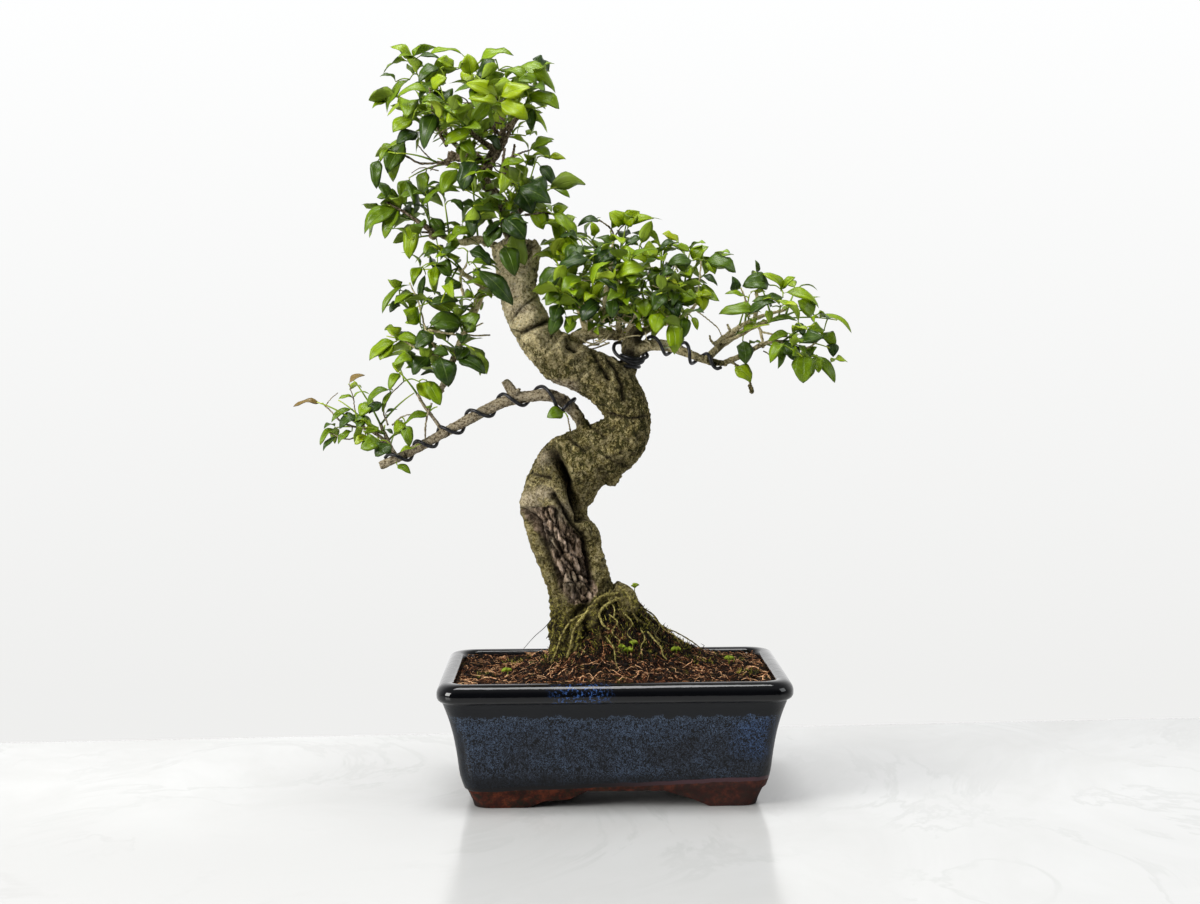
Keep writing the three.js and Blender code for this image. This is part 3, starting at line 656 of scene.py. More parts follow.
def soilMaterial():
    material, shader = startMaterial("coirSoil", Roughness=0.95, Specular_IOR_Level=0.15)
    point = objectPoint()
    z = splitPoint(point)[2]
    crumbs = noiseAt(point, 2.4, 5, 0.75)
    patches = noiseAt(point, 22, 3, 0.6)
    brown = ramp(crumbs, [(0.43, (0.002,0.001,0.001)), (0.51, (0.018,0.007,0.003)), (0.60, (0.17,0.060,0.026))])
    dark = ramp(crumbs, [(0.44, (0.002,0.001,0.001)), (0.52, (0.018,0.010,0.004)), (0.61, (0.10,0.062,0.028))])
    colour = mix(fade(patches, 0.42, 0.6), brown, dark)
    # moss creeps up the heap and sits in a few patches on the bed
    mossy = noiseAt(point, 9, 4, 0.65)
    onHeap = fade(z, 92.0, 125.0)
    share = fade(timesPlus(onHeap, 0.13, mossy), 0.58, 0.68)
    moss = ramp(noiseAt(point, 1.5, 4, 0.75), [(0.41, (0.006,0.006,0.001)), (0.51, (0.050,0.046,0.007)),
                                               (0.60, (0.16,0.145,0.02))])
    colour = mix(share, colour, moss)
    put(shader.inputs["Base Color"], colour)
    addBump(shader, timesPlus(crumbs, 1.0, times(noiseAt(point, 0.8, 3), 0.4)), 1.6)
    return material


soil = finishPiece(makeSoil(), "soilBed", ["soil"], [soilMaterial()])
print("soil made:", len(soil.data.polygons), "faces")


# smooth paths, as the source's own


def curveAt(route, share):
    # a point of the curve through the route, by its share of the points
    count = len(route)
    place = np.clip(share, 0, 1) * (count - 1)
    i = int(min(math.floor(place), count - 2))
    t = place - i
    p1, p2 = route[i], route[i + 1]
    p0 = route[i - 1] if i > 0 else 2 * route[0] - route[1]
    p3 = route[i + 2] if i + 2 < count else 2 * route[-1] - route[-2]
    d0, d1, d2 = (max(np.linalg.norm(b - a) ** 0.5, 1e-4) for a, b in ((p0, p1), (p1, p2), (p2, p3)))
    m1 = ((p1 - p0) / d0 - (p2 - p0) / (d0 + d1) + (p2 - p1) / d1) * d1
    m2 = ((p2 - p1) / d1 - (p3 - p1) / (d1 + d2) + (p3 - p2) / d2) * d1
    return p1 + m1 * t + (-3 * p1 + 3 * p2 - 2 * m1 - m2) * t ** 2 + (2 * p1 - 2 * p2 + m1 + m2) * t ** 3


def evenPath(route, shares):
    # points at shares of the curve's length, or as many even ones as a whole number says
    route = np.asarray(route, float)
    shares = np.linspace(0, 1, shares) if isinstance(shares, int) else shares
    steps = np.linspace(0, 1, 201)
    fine = np.array([curveAt(route, s) for s in steps])
    run = np.concatenate([[0], np.cumsum(np.linalg.norm(np.diff(fine, axis=0), axis=1))])
    return np.array([curveAt(route, np.interp(s * run[-1], run, steps)) for s in shares])


def seenPath(route, count):
    return evenPath([seenAt(*p) for p in route], count)


def unit(v):
    return v / max(np.linalg.norm(v), 1e-12)


def wayAt(angle, rise):
    return np.array([math.cos(angle), math.sin(angle), rise])


def pathFrames(points):
    # a normal and a binormal at each point, carried along without twist
    tangents = [unit(v) for v in np.gradient(points, axis=0)]
    least = int(np.argmin(np.abs(tangents[0])))
    first = np.cross(tangents[0], np.cross(tangents[0], np.eye(3)[least]))
    normals = [unit(first)]
    for before, now in zip(tangents, tangents[1:]):
        axis = np.cross(before, now)
        if np.linalg.norm(axis) > 1e-9:
            angle = math.acos(np.clip(np.dot(before, now), -1, 1))
            turn = np.array(Matrix.Rotation(angle, 3, Vector(axis)))
            normals.append(turn @ normals[-1])
        else:
            normals.append(normals[-1])
    return np.array(tangents), np.array(normals), np.cross(tangents, normals)


def newBatch():
    return {"verts": [], "faces": [], "marks": [], "count": 0, "kinds": []}


def addRings(batch, rings, mark=0.0, kind=0):
    # a closed skin over rings of as many points each
    rings = np.asarray(rings, float)
    rows, sides = rings.shape[:2]
    start = batch["count"]
    batch["verts"].append(rings.reshape(-1, 3))
    for i in range(rows - 1):
        for j in range(sides):
            k = (j + 1) % sides
            a, b = start + i * sides, start + (i + 1) * sides
            batch["faces"].append((a + j, a + k, b + k, b + j))
    batch["faces"].append(tuple(start + j for j in reversed(range(sides))))
    batch["faces"].append(tuple(start + (rows - 1) * sides + j for j in range(sides)))
    added = (rows - 1) * sides + 2
    batch["kinds"].extend([kind] * added)
    marks = np.full(rows * sides, mark) if np.isscalar(mark) else np.repeat(mark, sides)
    batch["marks"].append(marks)
    batch["count"] += rows * sides


def addTube(batch, points, radii, sides=6, mark=0.0, kind=0):
    _, normals, binormals = pathFrames(points)
    angles = np.arange(sides) / sides * 2 * math.pi
    ring = np.cos(angles)[None, :, None] * normals[:, None] + np.sin(angles)[None, :, None] * binormals[:, None]
    addRings(batch, points[:, None] + ring * np.asarray(radii)[:, None, None], mark, kind)


def batchObject(name, batch):
    piece = meshObject(name, toFrame(np.concatenate(batch["verts"])), batch["faces"])
    piece.data.polygons.foreach_set("material_index", batch["kinds"])
    writeAttribute(piece.data, "mark", np.concatenate(batch["marks"]))
    return piece


# wood


# every branch: its radii, its route, the tips of its leafy shoots and those of shoots that only show here
branches = {
    "leader": [(5.5,2), [(-70,0,392), (-74,4,414), (-80,0,431), (-89,-4,442), (-89,-6,456), (-81,-2,470),
        (-77,2,482), (-79,4,497), (-84,2,508)], [(-100,-5,527), (-85,-38,500), (-106,-20,451)], [(-76,15,519),
        (-102,40,515), (-67,-32,491), (-95,-45,512)]],
    "crown_left": [(2.8,1.4), [(-88,-6,458), (-109,6,469), (-122,10,484)], [(-145,5,533), (-152,-12,505),
        (-126,24,523)], [(-153,25,499), (-130,10,513)]],
    "crown_twig": [(1.8,1.3), [(-88,-5,452), (-108,-10,455), (-124,-14,457)], [(-153,-22,463), (-146,2,447)]],
    "crown_right": [(2.4,1.4), [(-75,4,413), (-66,-6,421), (-58,-12,430)], [(-38,-24,438), (-52,-8,461)],
        [(-58,0,467), (-65,10,453)]],
    "crown_top_right": [(2.2,1.4), [(-77,2,481), (-68,-4,488), (-61,-6,496)], [(-51,-8,519), (-45,6,499)],
        [(-60,-30,489), (-57,12,510)]],
    "crown_back": [(2.4,1.4), [(-80,-2,471), (-78,16,478), (-76,30,490)], [(-75,48,508)]],
    "crown_front": [(2.4,1.4), [(-83,-3,467), (-92,-18,472), (-102,-32,480)], [(-112,-50,489)], [(-120,-45,484),
        (-105,-30,471)]],
    "crown_back_left": [(2.4,1.4), [(-89,-6,456), (-102,16,470), (-114,34,488)], [(-131,50,512)]],
    "shoulder_back": [(2.2,1.4), [(-76,3,416), (-70,18,423), (-66,28,430)], [(-62,42,446)], [(-47,30,422),
        (-81,35,444)]],
    "shoulder_front": [(2.4,1.4), [(-76,3,416), (-78,-14,420), (-79,-26,426)], [(-76,-47,446), (-97,-44,424),
        (-64,-40,402)], [(-104,-20,437), (-93,-25,419), (-79,-25,411), (-65,-28,390)]],
    "left_arm": [(4,1.5), [(-72,0,394), (-93,-5,402), (-108,-8,400), (-124,-10,406), (-134,-12,413)],
        [(-160,-14,427), (-142,6,439), (-144,-24,401)], [(-101,-10,459), (-166,-5,420), (-133,-10,438),
        (-118,-24,426), (-108,10,414)]],
    "hanging_arm": [(3.6,2.4), [(-68,0,367), (-90,-4,368), (-97,-6,355), (-106,-8,335), (-115,-8,314),
        (-122,-8,299)], [(-153,-10,366), (-132,12,358), (-162,-18,333), (-144,-22,317), (-98,-22,322)],
        [(-129,-25,358), (-136,10,337), (-122,-30,326), (-112,-20,348), (-102,0,344), (-130,-8,310),
         (-147,15,352),
        (-101,-15,358), (-114,8,319)]],
    "hanging_fork": [(2.2,1.3), [(-90,-4,367), (-101,-12,374), (-110,-18,381)], [(-121,-34,356), (-124,-22,398)],
        [(-119,-20,376), (-139,5,381), (-122,-20,391)]],
    "wired_arm": [(5.2,3.2), [(-9,-2,248), (-20.5,-4,267), (-31,-8,281.5), (-42,-10,288.5), (-56,-10.5,289),
        (-77,-11,285), (-102,-12,273), (-124,-12,261), (-146,-12,249), (-168,-12,239)], []],
    "lower_callus": [(7,4.6), [(-14,-4,238), (-4,-5,230), (4,-6,225.5)], []],
    "wired_stub": [(4.8,3.0), [(-66,-11,285), (-70,-11.5,290), (-73.5,-12,295), (-77,-12,300.5)], []],
    "wired_twig_up": [(1.4,1.1), [(-121,-12,263), (-134,-15,281), (-140,-17,291)], [(-156,-20,310)]],
    "wired_twig_end": [(1.9,1.3), [(-156,-12,244), (-162,-14,258), (-167,-13,269)],
                       [(-187,-10,302), (-176,-32,268)],
        [(-153,-12,265), (-142,-14,292), (-163,-22,269)]],
    "wired_twig_left": [(1.5,1.1), [(-161,-13,255), (-172,-18,264), (-182,-19,269)], [(-212,-22,286),
        (-200,-14,267)], [(-185,-20,280), (-198,-8,287)]],
    "pad_arm": [(5.5,1.8), [(-32,0,325), (-15,4,334), (7,6,332), (24,8,335), (40,7,344), (52,5,352)],
                [(64,10,386),
        (70,-8,366)], [(59,15,394), (80,5,385), (49,-35,368), (10,-12,358)]],
    "pad_left_up": [(2.2,1.4), [(-17,4,334), (-24,-2,354), (-28,-4,374)], [(-33,6,412), (-42,-20,388)],
        [(-40,-10,401), (-40,-22,418)]],
    "pad_left_front": [(2.2,1.3), [(-13,4,334), (-16,-14,342), (-18,-26,350)], [(-37,-42,364), (-12,-52,372)],
        [(-40,-10,365), (-37,-30,350), (-7,45,389)]],
    "pad_top": [(2.2,1.3), [(7,6,332), (6,1,358), (6,-4,380)], [(12,-6,414)], [(-25,25,407), (-13,-10,401),
        (0,-10,408)]],
    "pad_front": [(2.4,1.4), [(9,6,332), (16,-10,342), (20,-22,351)], [(36,-46,362), (12,-38,384)], [(-8,-30,389),
        (-15,20,358), (-1,-45,364)]],
    "pad_back": [(2.2,1.4), [(6,6,332), (6,22,350), (7,32,370)], [(8,48,396)], [(-7,45,387), (-37,30,366)]],
    "pad_top_right": [(2,1.3), [(30,8,338), (34,8,356), (37,8,368)], [(38,6,398)], [(21,-20,397), (40,0,394)]],
    "pad_back_right": [(2.2,1.3), [(24,8,335), (34,22,346), (41,32,358)], [(50,48,382)], [(22,10,373)]],
    "pad_low": [(1.8,1.2), [(33,8,340), (42,-8,340), (45,-14,338)], [(50,-40,336)], [(10,-40,382), (28,-12,345)]],
    "right_arm": [(6,2.4), [(14,0,290), (12.5,-2,310), (19,-3,321), (30,-4,325), (42,-4,324), (58,-4,318),
        (71,-4,313), (85,-5,311)], []],
    "right_fork_up": [(2.9,1.4), [(69,-4,314), (81,-4,325), (98,-2,335), (116,0,342), (128,1,346)], [(108,2,372),
        (96,-18,356), (137,12,366), (165,-6,342)], [(100,-15,361), (96,-20,350), (122,-20,353), (150,8,350),
        (113,-30,339)]],
    "right_fork_low": [(2.2,1.3), [(83,-5,312), (97,-10,318), (112,-13,326), (124,-15,327)], [(158,-16,322),
        (136,-34,316)], [(147,-20,339), (140,-15,310), (159,-10,310)]],
}
branches = {name: dict(zip(("radii", "route", "tips", "more"), row)) for name, row in branches.items()}

# bare twigs, cut stubs and buds: first and last radius, then x, z and y of the route's points
bareTwigs = {
    "crown": [
        [(3.7,3.4), (-95,462,-4), (-107,462,-6), (-117,463,-7)], [(1.1,0.7), (-108,461,-8), (-125,458,-10),
        (-138,458,-12), (-149,464,-14)], [(0.6,0.4), (-126,458,-10), (-132,463,-12), (-139,471,-14)], [(2.1,1.4),
        (-90,449,-8), (-84,459,-14), (-77,471,-18), (-68,489,-20), (-63,498,-20)], [(1.5,0.9), (-77,474,-18),
        (-85,483,-18), (-94,479,-20)], [(1.2,0.8), (-81,466,-17), (-84,486,-20), (-89,500,-26)], [(1.3,0.9),
        (-77,456,-22), (-77,462,-23), (-76,468,-24)], [(1.2,0.8), (-73,458,-22), (-70,464,-23), (-69,471,-24)],
        [(0.9,0.5), (-74,458,-20), (-66,464,-18), (-57,467,-12)], [(1.0,0.6), (-62,420,-20), (-48,421,-19),
        (-35,419,-17)], [(1.5,0.7), (-126,405,-16), (-136,413,-18), (-150,423,-18), (-164,431,-17)], [(3.0,2.2),
        (-130,404,-15), (-126,408,-16), (-124,414,-16)],
        [(0.8,0.6), (-137,408,-15), (-122,408,-15), (-108,412,-15)],
        [(1.2,0.7), (-118,470,-14), (-126,486,-24), (-130,512,-30)]],
    "hanging": [
        [(0.9,0.6), (-133,337,-20), (-115,334,-16), (-100,333,-12), (-88,333,-10)], [(0.6,0.5), (-104,336,-12),
        (-97,340,-11), (-93,342,-10)], [(1.2,0.7), (-107,362,-14), (-109,375,-18), (-104,386,-20)], [(0.9,0.5),
        (-122,318,-18), (-138,322,-18), (-152,330,-16), (-160,334,-15)],
        [(0.9,0.5), (-124,318,-14), (-134,336,-16),
        (-140,358,-14), (-146,371,-12)], [(2.6,2.3), (-117,306,-9), (-122,298,-8), (-125,292,-8)]],
    "pad": [
        [(1.9,1.2), (-6,342,-10), (-3,366,-16), (1,386,-16)], [(0.9,0.4), (-2,384,-14), (3,402,-8), (6,408,-6),
        (11,413,-6)], [(0.8,0.5), (4,402,-8), (0,410,-10), (-8,416,-12)], [(0.8,0.5), (60,350,-8), (64,366,-12),
        (66,386,-12)], [(1.7,1.0), (44,344,-2), (55,347,-10), (64,357,-16)],
        [(0.5,0.4), (62,350,-12), (70,344,-10),
        (78,337,-7), (81,331,-5)]],
    "right": [
        [(2.3,1.0), (76,325,-6), (91,336,-7), (106,344,-8), (128,350,-8)], [(1.4,1.0), (81,326,-8), (97,333,-10),
        (107,338,-11), (110,330,-12), (111,322,-12)], [(0.9,0.6), (101,345,-9), (99,355,-11), (95,366,-12)],
        [(1.5,1.1), (105,344,-8), (107,354,-10), (106,364,-10)], [(1.4,0.6), (97,317,-12), (110,324,-13),
        (122,327,-14), (137,321,-16), (147,324,-16), (153,330,-15)], [(0.5,0.35), (111,320,-13), (118,317,-15),
        (124,319,-15)], [(0.8,0.5), (110,334,-12), (124,331,-14), (138,329,-14)], [(1.0,0.8), (86,313,-6),
        (93,309,-8), (99,302,-10), (102,296,-10)], [(1.5,1.7), (101,296,-10), (102,293,-10), (103,290,-10)],
        [(1.2,0.6), (76,325,-6), (73,328,-8), (72,332,-8)], [(1.2,0.7), (88,334,-7), (86,337,-9), (85,340,-9)]],
    "arm": [
        [(0.6,0.5), (-30,262,-14), (-31,268,-16), (-32,273,-16)], [(0.8,0.6), (-131,284,-16), (-135,272,-16),
        (-136,260,-15), (-136,254,-14)], [(1.9,1.0), (-71,290,-15), (-68.5,292.5,-15), (-66.5,294,-15)],
        [(1.5,0.6),
        (-72,287.5,-15), (-76,288,-15), (-79,288.5,-15)]],
    "end": [
        [(1.0,0.8), (-164,254,-15), (-172,258,-18), (-181,264,-20)], [(1.0,0.5), (-165,262,-14), (-182,266,-18),
        (-196,270,-18), (-204,278,-16), (-210,284,-15)],
        [(0.4,0.3), (-208,283,-15), (-204,288,-15), (-199,292,-15)],
        [(0.6,0.35), (-180,268,-16), (-186,276,-15), (-188,288,-14), (-191,298,-14)], [(0.6,0.4), (-184,262,-18),
        (-192,258,-20), (-206,263,-20)], [(0.7,0.4), (-160,268,-14), (-153,274,-14), (-146,276,-14)], [(0.7,0.4),
        (-163,268,-14), (-166,278,-15), (-161,290,-15), (-151,300,-14)]],
}

woodShape = {
    # left x and z, right x and z of the trunk, from the foot up
    "outline": [(-46,78,14,76), (-46,98,14,98), (-45,118,8,118), (-47,145,-1,152), (-59,176,-9,178),
        (-64,195,-11,190), (-67,211,-19,203), (-59,236,-13,213), (-49,252,-8,221), (-35,261,1,227),
        (-18,266,17,238), (-8,270,26,251), (-4,272,29,267), (-6,276,27,282), (-16,286,21,298),
        (-30,294,3,315), (-46,301,-17,324), (-66,325,-37,337), (-76,344,-47,349), (-82,369,-54,368),
        (-84,384,-52,383), (-86,396,-50,395), (-83,403,-53,404)],
    "leastDepth": 18.5, "rings": 120, "sides": 44, "voxel": 1.06, "thick": 3.0,
    "rootCount": 7,
    # the post under the pad, dark with painted shade, and the knob on the heap: radii, then x, z and depth as the
    # camera sees them
    "shown": [[(6.8,6.0), (11,300,-1), (13,314,-2), (14,326,-1), (20,337,1)],
              [(7.5,5.0), (2,145,-12), (8,143,-14), (13,137,-18), (14,128,-22)]],
}


def trunkRing(outline, along, sides):
    left, right = np.array([outline[0], 0, outline[1]]), np.array([outline[2], 0, outline[3]])
    half = (right - left) / 2
    middle = left + half
    size = np.linalg.norm(half)
    depth = max(size * 0.96, woodShape["leastDepth"]) if along < 0.7 else size * 0.96
    middle[1] = 5 * math.sin(along * 7)
    ring = []
    for i in range(sides):
        angle = i / sides * 2 * math.pi
        ridges = 0.05 * math.sin(3 * angle + 9 * along) + 0.035 * math.sin(5 * angle - 14 * along)
        swell = abs(math.sin(angle)) ** 2 * ridges
        ring.append(middle + half * math.cos(angle) * (1 + 0.3 * ridges)
                    + np.array([0, depth * math.sin(angle) * (1 + swell), 0]))
    return ring


def rootPath(index):
    draw = seeded(700 + index)
    heading = index / woodShape["rootCount"] * 2 * math.pi + 0.5 * draw()
    reach = 50 + 26 * draw()
    bend = 0.9 * (draw() - 0.5)
    route = []
    lifts = (7, 3.5, 1, -0.8, -5)
    for i, lift in enumerate(lifts):
        share = i / (len(lifts) - 1)
        out = 16 + (reach - 16) * share
        angle = heading + bend * share
        x, y = -14 + out * math.cos(angle), 2 + 0.85 * out * math.sin(angle)
        route.append((x, y, float(groundHeight(x, y)) + lift - 1.2))
    return route, 3 + 1.7 * draw()


def makeHeavyWood():
    w = woodShape
    batch = newBatch()
    outlines = evenPath(w["outline"], np.linspace(0, 1, w["rings"]))
    # the source counts its rings evenly, so along is found from the place between them
    marks = np.array([curveAt(np.array(w["outline"], float), s) for s in np.linspace(0, 1, 400)])
    alongs = [np.argmin(np.linalg.norm(marks - o, axis=1)) / 399 for o in outlines]
    addRings(batch, [trunkRing(o, a, w["sides"]) for o, a in zip(outlines, alongs)])
    for i in range(w["rootCount"]):
        route, thick = rootPath(i)
        points = evenPath(route, 14)
        addTube(batch, points, np.linspace(thick, 1.8, 14), 12)
    for root in w["shown"]:
        addTube(batch, seenPath(root[1:], 24), np.linspace(*root[0], 24), 14)
    for branch in branches.values():
        if branch["radii"][0] > w["thick"]:
            count = 10 * len(branch["route"])
            addTube(batch, evenPath(branch["route"], count), np.linspace(*branch["radii"], count), 14)
    wood = batchObject("heavyWood", batch)
    applyModifier(wood, "REMESH", mode="VOXEL", voxel_size=w["voxel"] * mm, adaptivity=0)
    applyModifier(wood, "SMOOTH", factor=0.6, iterations=6)
    return wood, outlines


# marks on the front of the trunk: width, how far it sinks (below zero it stands out) and how dark it is,
# painted shade in the sunk grooves, gaps and cracks, then x and z of its line
trunkMarks = {
    "groove": [3.6,9.5,1.1, (-46,254), (-42,247), (-37,237), (-31,223), (-27,210), (-24,200)],
    "grooveFloor": [2.8,6.5,1.0, (-38,240), (-31,223), (-26,209)],
    "hollowLip": [3.4,-2.6,0.0, (-55,254), (-47,261), (-38,256), (-33,243)],
    "strand": [3.5,-4.2,-0.2, (-42,227), (-34,213), (-26,199), (-17,192), (-10,182), (-9.5,169), (-7,156)],
    "strandCrack": [1.9,4.6,1.0, (-42,218), (-30,199), (-20,187), (-17.5,172), (-15,152)],
    "leftLip": [3.2,-2.4,0.0, (-66,206), (-57,184), (-50,165), (-41,149)],
    "leftCrack": [1.9,3.6,1.0, (-64,206), (-54,198), (-51,185), (-45,167), (-38,155)],
    "deadSplit": [1.4,3.0,0.9, (-47,190), (-38,178), (-29,166), (-19,157)],
    "footFold": [3.2,-3.2,-0.2, (-44,157), (-38,150), (-32,141), (-24,137), (-15,141)],
    "footHollow": [3.6,3.2,0.8, (-30,147), (-23,147)],
    "underRoot": [3.2,4.5,1.0, (1,133), (-8,125), (-17,117), (-22,106), (-24,96)],
    "overRoot": [2.6,3.6,0.9, (-18,140), (-28,131), (-34,122)],
    "besideRoot": [2.2,3.0,0.9, (-33,117), (-36,106), (-38,96)],
    "heapCave": [3.4,4.0,1.0, (7,124), (12,122), (17,119)],
    "knobCrack": [1.5,3.0,0.9, (-1,147), (2,139), (1,131)],
    "knobFold": [1.4,2.6,0.9, (7,150), (11,142), (10,133), (13,126)],
    "knobSide": [1.3,2.4,0.8, (13,146), (17,137), (17,128)],
    "gash": [1.9,3.6,1.0, (-64,334.5), (-55,339), (-46,343.5)],
    "gashLip": [4.0,-2.6,0.0, (-68,341), (-59,345), (-50,350)],
    "ringHigh": [1.1,1.2,0.7, (-80,348), (-72,338), (-64,334)],
    "creaseHigh": [1.1,1.4,0.75, (-72,343), (-64,353), (-53,361)],
    "ringMiddle": [1.2,1.9,1.0, (-4,275.5), (4,274), (14,272.5), (29,274.5)],
    "ringLow": [1.5,2.0,1.0, (-64,234), (-55,232), (-44,229.5)],
    "nick": [1.2,1.8,0.9, (-34,262), (-27,255), (-20,249)],
    "nickTwo": [1.3,1.4,0.9, (-16,268), (-9,262), (-4,258)],
    "nickThree": [1.2,1.4,0.8, (-4,245), (4,240), (11,237)],
    "callusCoil": [2.2,-2.6,0.0, (-32,332), (-38,326), (-35,318), (-26,316), (-19,321), (-20,328)],
    "callusEye": [2.4,2.6,0.9, (-31,325), (-26,322)],
    "armCollar": [4.0,-2.4,0.0, (-30,336), (-20,338), (-10,334)],
    "foldUnderArm": [1.6,2.2,0.9, (-14,322), (-8,312), (-2,302)],
    "foldHigh": [1.6,2.0,0.9, (-3,316), (4,306), (8,296), (8,286)],
}
# round swells and knobs on the front: x, z, radius, how far they stand out
trunkKnobs = [(-62,212,8,3.2), (-50,219,7,3.4), (-42,207,5,3.0), (-35,193,4,2.0), (-30,170,5,2.0), (3,229,6,2.5),
    (-5,172,3,2.6), (-76,352,8,1.8), (-58,322,12,2.2), (-36,300,12,1.8), (14,258,12,2.0), (-24,240,10,1.8),
    (6,147,7,3.4), (12,138,6,2.5)]
palePatches = [(-29,153,6,7), (-60,213,8,7), (-49,219,8,5), (-36,206,5,7), (-70,385,14,14), (-66,352,12,7),
    (-45,183,4,6), (-52,247,7,7), (-72,366,12,9)]
# painted shade at places in depth too, as on the post in the pad's shade: x, y, z and radius
paintedShadePlaces = [(13,-8,318,8), (20,-5,332,8), (26,-4,318,4), (-8,2,318,6), (-30,-30,134,6), (-52,-2,372,5),
    (-50.5,-4,364,4), (-51,-6,380,4), (-71,-16,342,2.5), (-35,-12,285,3)]
stumpTop = {"hollow": [(-75,388), (-72,399), (-62,402), (-53,399), (-55,389), (-62,385)], "sink": 3.5,
            "raggedFrom": 396, "ragged": 5.5}
deadWood = [(-66,206), (-60,209), (-50,209), (-42,210), (-31,197), (-20,185), (-17,172), (-14,157), (-11,147),
    (-17,139), (-29,138), (-38,148), (-42.5,162), (-46,176), (-55,190)]


def lineDistance(x, z, line):
    best = np.full(len(x), 1e9)
    for (ax, az), (bx, bz) in zip(line, line[1:]):
        dx, dz = bx - ax, bz - az
        t = np.clip(((x - ax) * dx + (z - az) * dz) / (dx * dx + dz * dz), 0, 1)
        best = np.minimum(best, np.hypot(x - ax - t * dx, z - az - t * dz))
    return best


def insidePolygon(x, z, corners):
    inside = np.zeros(len(x), bool)
    for (ax, az), (bx, bz) in zip(corners, corners[1:] + corners[:1]):
        crosses = ((az > z) != (bz > z)) & (x < (bx - ax) * (z - az) / (bz - az + 1e-12) + ax)
        inside ^= crosses
    return inside


